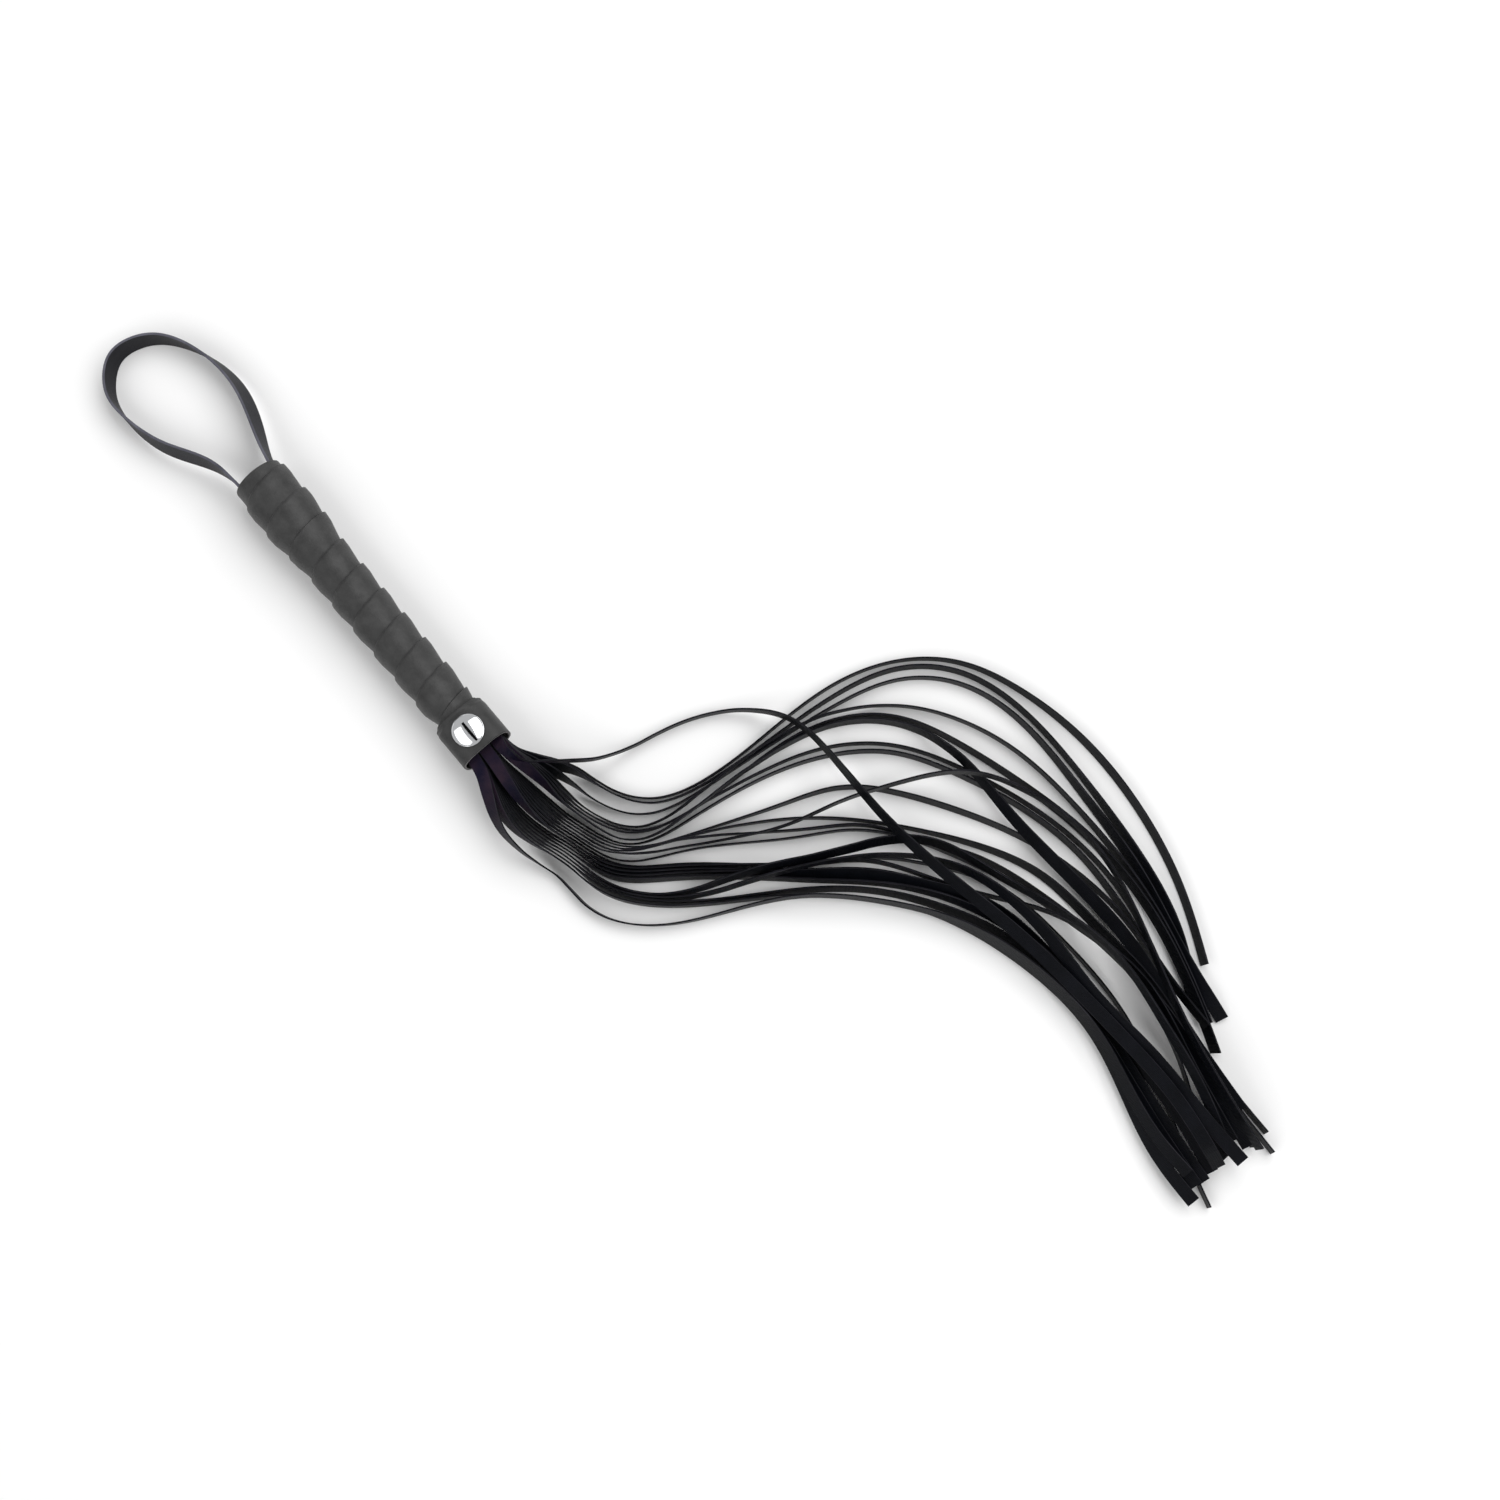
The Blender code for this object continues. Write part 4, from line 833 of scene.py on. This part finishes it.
def make_cuff():
    gap_angle = CUFF_SEAM / CUFF_HALF_HEIGHT
    edge = 0.25 * MM
    morph = CUFF_LENGTH - CUFF_ROUND_LENGTH
    xs = [-CUFF_LENGTH, -CUFF_LENGTH + edge]
    xs += [-morph + CUFF_MORPH_LENGTH * k / 6 for k in range(7)]
    xs += [-edge, 0]
    inset = [edge] + [0] * (len(xs) - 2) + [edge]
    flats = [float(smooth_step((x + morph) / CUFF_MORPH_LENGTH)) for x in xs]
    place = MOUTH + AXIS
    segments = 120
    rings = []
    for k in range(segments + 1):
        angle = math.pi + gap_angle / 2 + (2 * math.pi - gap_angle) * k / segments
        ring = [(x, *cuff_point(angle, f, i)) for x, f, i in zip(xs, flats, inset)]
        ring += [
            (x, *cuff_point(angle, f, CUFF_THICKNESS - i))
            for x, f, i in zip(xs[::-1], flats[::-1], inset[::-1])
        ]
        rings.append([(place.x + x, place.y + y, place.z + z) for x, y, z in ring])
    sides = [0] * len(rings[0])
    sides[len(xs) - 1] = 1
    sides[-1] = 1
    piece = tube("cuff_strip", rings, [CUFF, CUT_EDGE], sides)
    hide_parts("cuff")
    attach(piece, "handle")


def make_cap():
    """The rivet's polished dome with a rolled rim."""
    top = CUFF_HALF_HEIGHT + GAP
    radius = DOME_DIAMETER / 2
    rise = DOME_HEIGHT - DOME_RIM
    ball = (radius**2 + rise**2) / (2 * rise)
    half = math.asin(radius / ball)
    profile = [(top, radius - DOME_RIM * 1.2), (top, radius - DOME_RIM / 2)]
    for k in range(7):
        angle = math.pi * (k / 6 - 0.5)
        reach = DOME_RIM / 2
        profile.append((top + reach + reach * math.sin(angle), radius - reach + reach * math.cos(angle)))
    rings = 24
    for k in range(1, rings + 1):
        angle = half * (1 - k / rings * 0.995) * 0.97
        profile.append((top + DOME_HEIGHT - ball + ball * math.cos(angle), ball * math.sin(angle)))
    place = MOUTH + AXIS - Vector((RIVET_FROM_MOUTH, 0, 0))
    segments = 96
    rows = []
    for z, r in profile:
        turns = [math.tau * k / segments for k in range(segments)]
        rows.append([(place.x + r * math.cos(a), place.y + r * math.sin(a), place.z + z) for a in turns])
    piece = tube("rivet_dome", rows, [CHROME], [0] * segments, smooth_angle=60)
    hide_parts("rivet_cap")
    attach(piece, "handle")


def dress_nodes():
    """Materials for the frame's own nodes that stay."""
    looks = {
        "handle_core": WOOD,
        "butt_disc": CUFF,
        "loop_tab_left": LOOP,
        "loop_tab_right": LOOP,
        "loop_tack_left": STEEL,
        "loop_tack_right": STEEL,
        "cuff_liner": LINER,
        "rivet_post": STEEL,
        "rivet_back": CHROME,
        "falls_band": FALL,
    }
    for name, look in looks.items():
        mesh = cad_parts[name].data
        mesh.materials.clear()
        mesh.materials.append(look)


def area_light(name, place, aim, size, power, colour=(1, 1, 1)):
    data = bpy.data.lights.new(name, "AREA")
    data.shape = "RECTANGLE"
    data.size, data.size_y = size
    data.energy = power
    data.color = colour
    lamp = bpy.data.objects.new(name, data)
    bpy.context.scene.collection.objects.link(lamp)
    lamp.location = place
    lamp.rotation_euler = (Vector(aim) - Vector(place)).to_track_quat("-Z", "Y").to_euler()


def make_studio():
    mesh = bpy.data.meshes.new("floor")
    half = 6.0
    corners = [(-half, -half, 0), (half, -half, 0), (half, half, 0), (-half, half, 0)]
    mesh.from_pydata(corners, [], [(0, 1, 2, 3)])
    made, _, shader = node_tree("floor")
    shader.inputs["Base Color"].default_value = (0.9, 0.9, 0.9, 1)
    shader.inputs["Roughness"].default_value = 0.9
    shader.inputs["Specular IOR Level"].default_value = 0.1
    mesh.materials.append(made)
    floor = bpy.data.objects.new("floor", mesh)
    floor.location = (0, 0, -0.0002)
    bpy.context.scene.collection.objects.link(floor)
    world = bpy.data.worlds.new("studio")
    world.use_nodes = True
    world.node_tree.nodes["Background"].inputs["Color"].default_value = (1, 1, 1, 1)
    world.node_tree.nodes["Background"].inputs["Strength"].default_value = 0.50
    bpy.context.scene.world = world
    # Two long softboxes along the handle, with a dark gap between them over the rivet
    area_light("key", (0.35, 1.25, 1.75), (0.15, 0.10, 0), (3.4, 1.7), 45)
    area_light("fill", (0.05, -1.35, 1.75), (0.15, 0.05, 0), (3.4, 1.5), 17)
    card = bpy.data.meshes.new("dark_card")
    corners = [(-1.8, -0.2, 0), (1.8, -0.2, 0), (1.8, 0.2, 0), (-1.8, 0.2, 0)]
    card.from_pydata(corners, [], [(0, 1, 2, 3)])
    black, _, shader = node_tree("card")
    shader.inputs["Base Color"].default_value = (0.005, 0.005, 0.005, 1)
    shader.inputs["Specular IOR Level"].default_value = 0.0
    card.materials.append(black)
    flag = bpy.data.objects.new("dark_card", card)
    flag.location = (0.05, -0.05, 1.9)
    flag.visible_camera = False
    bpy.context.scene.collection.objects.link(flag)
    bpy.context.scene.view_settings.view_transform = "Standard"


make_camera()
make_falls()
make_loop()
make_wrap()
make_cuff()
make_cap()
dress_nodes()
make_studio()

bpy.context.view_layer.update()
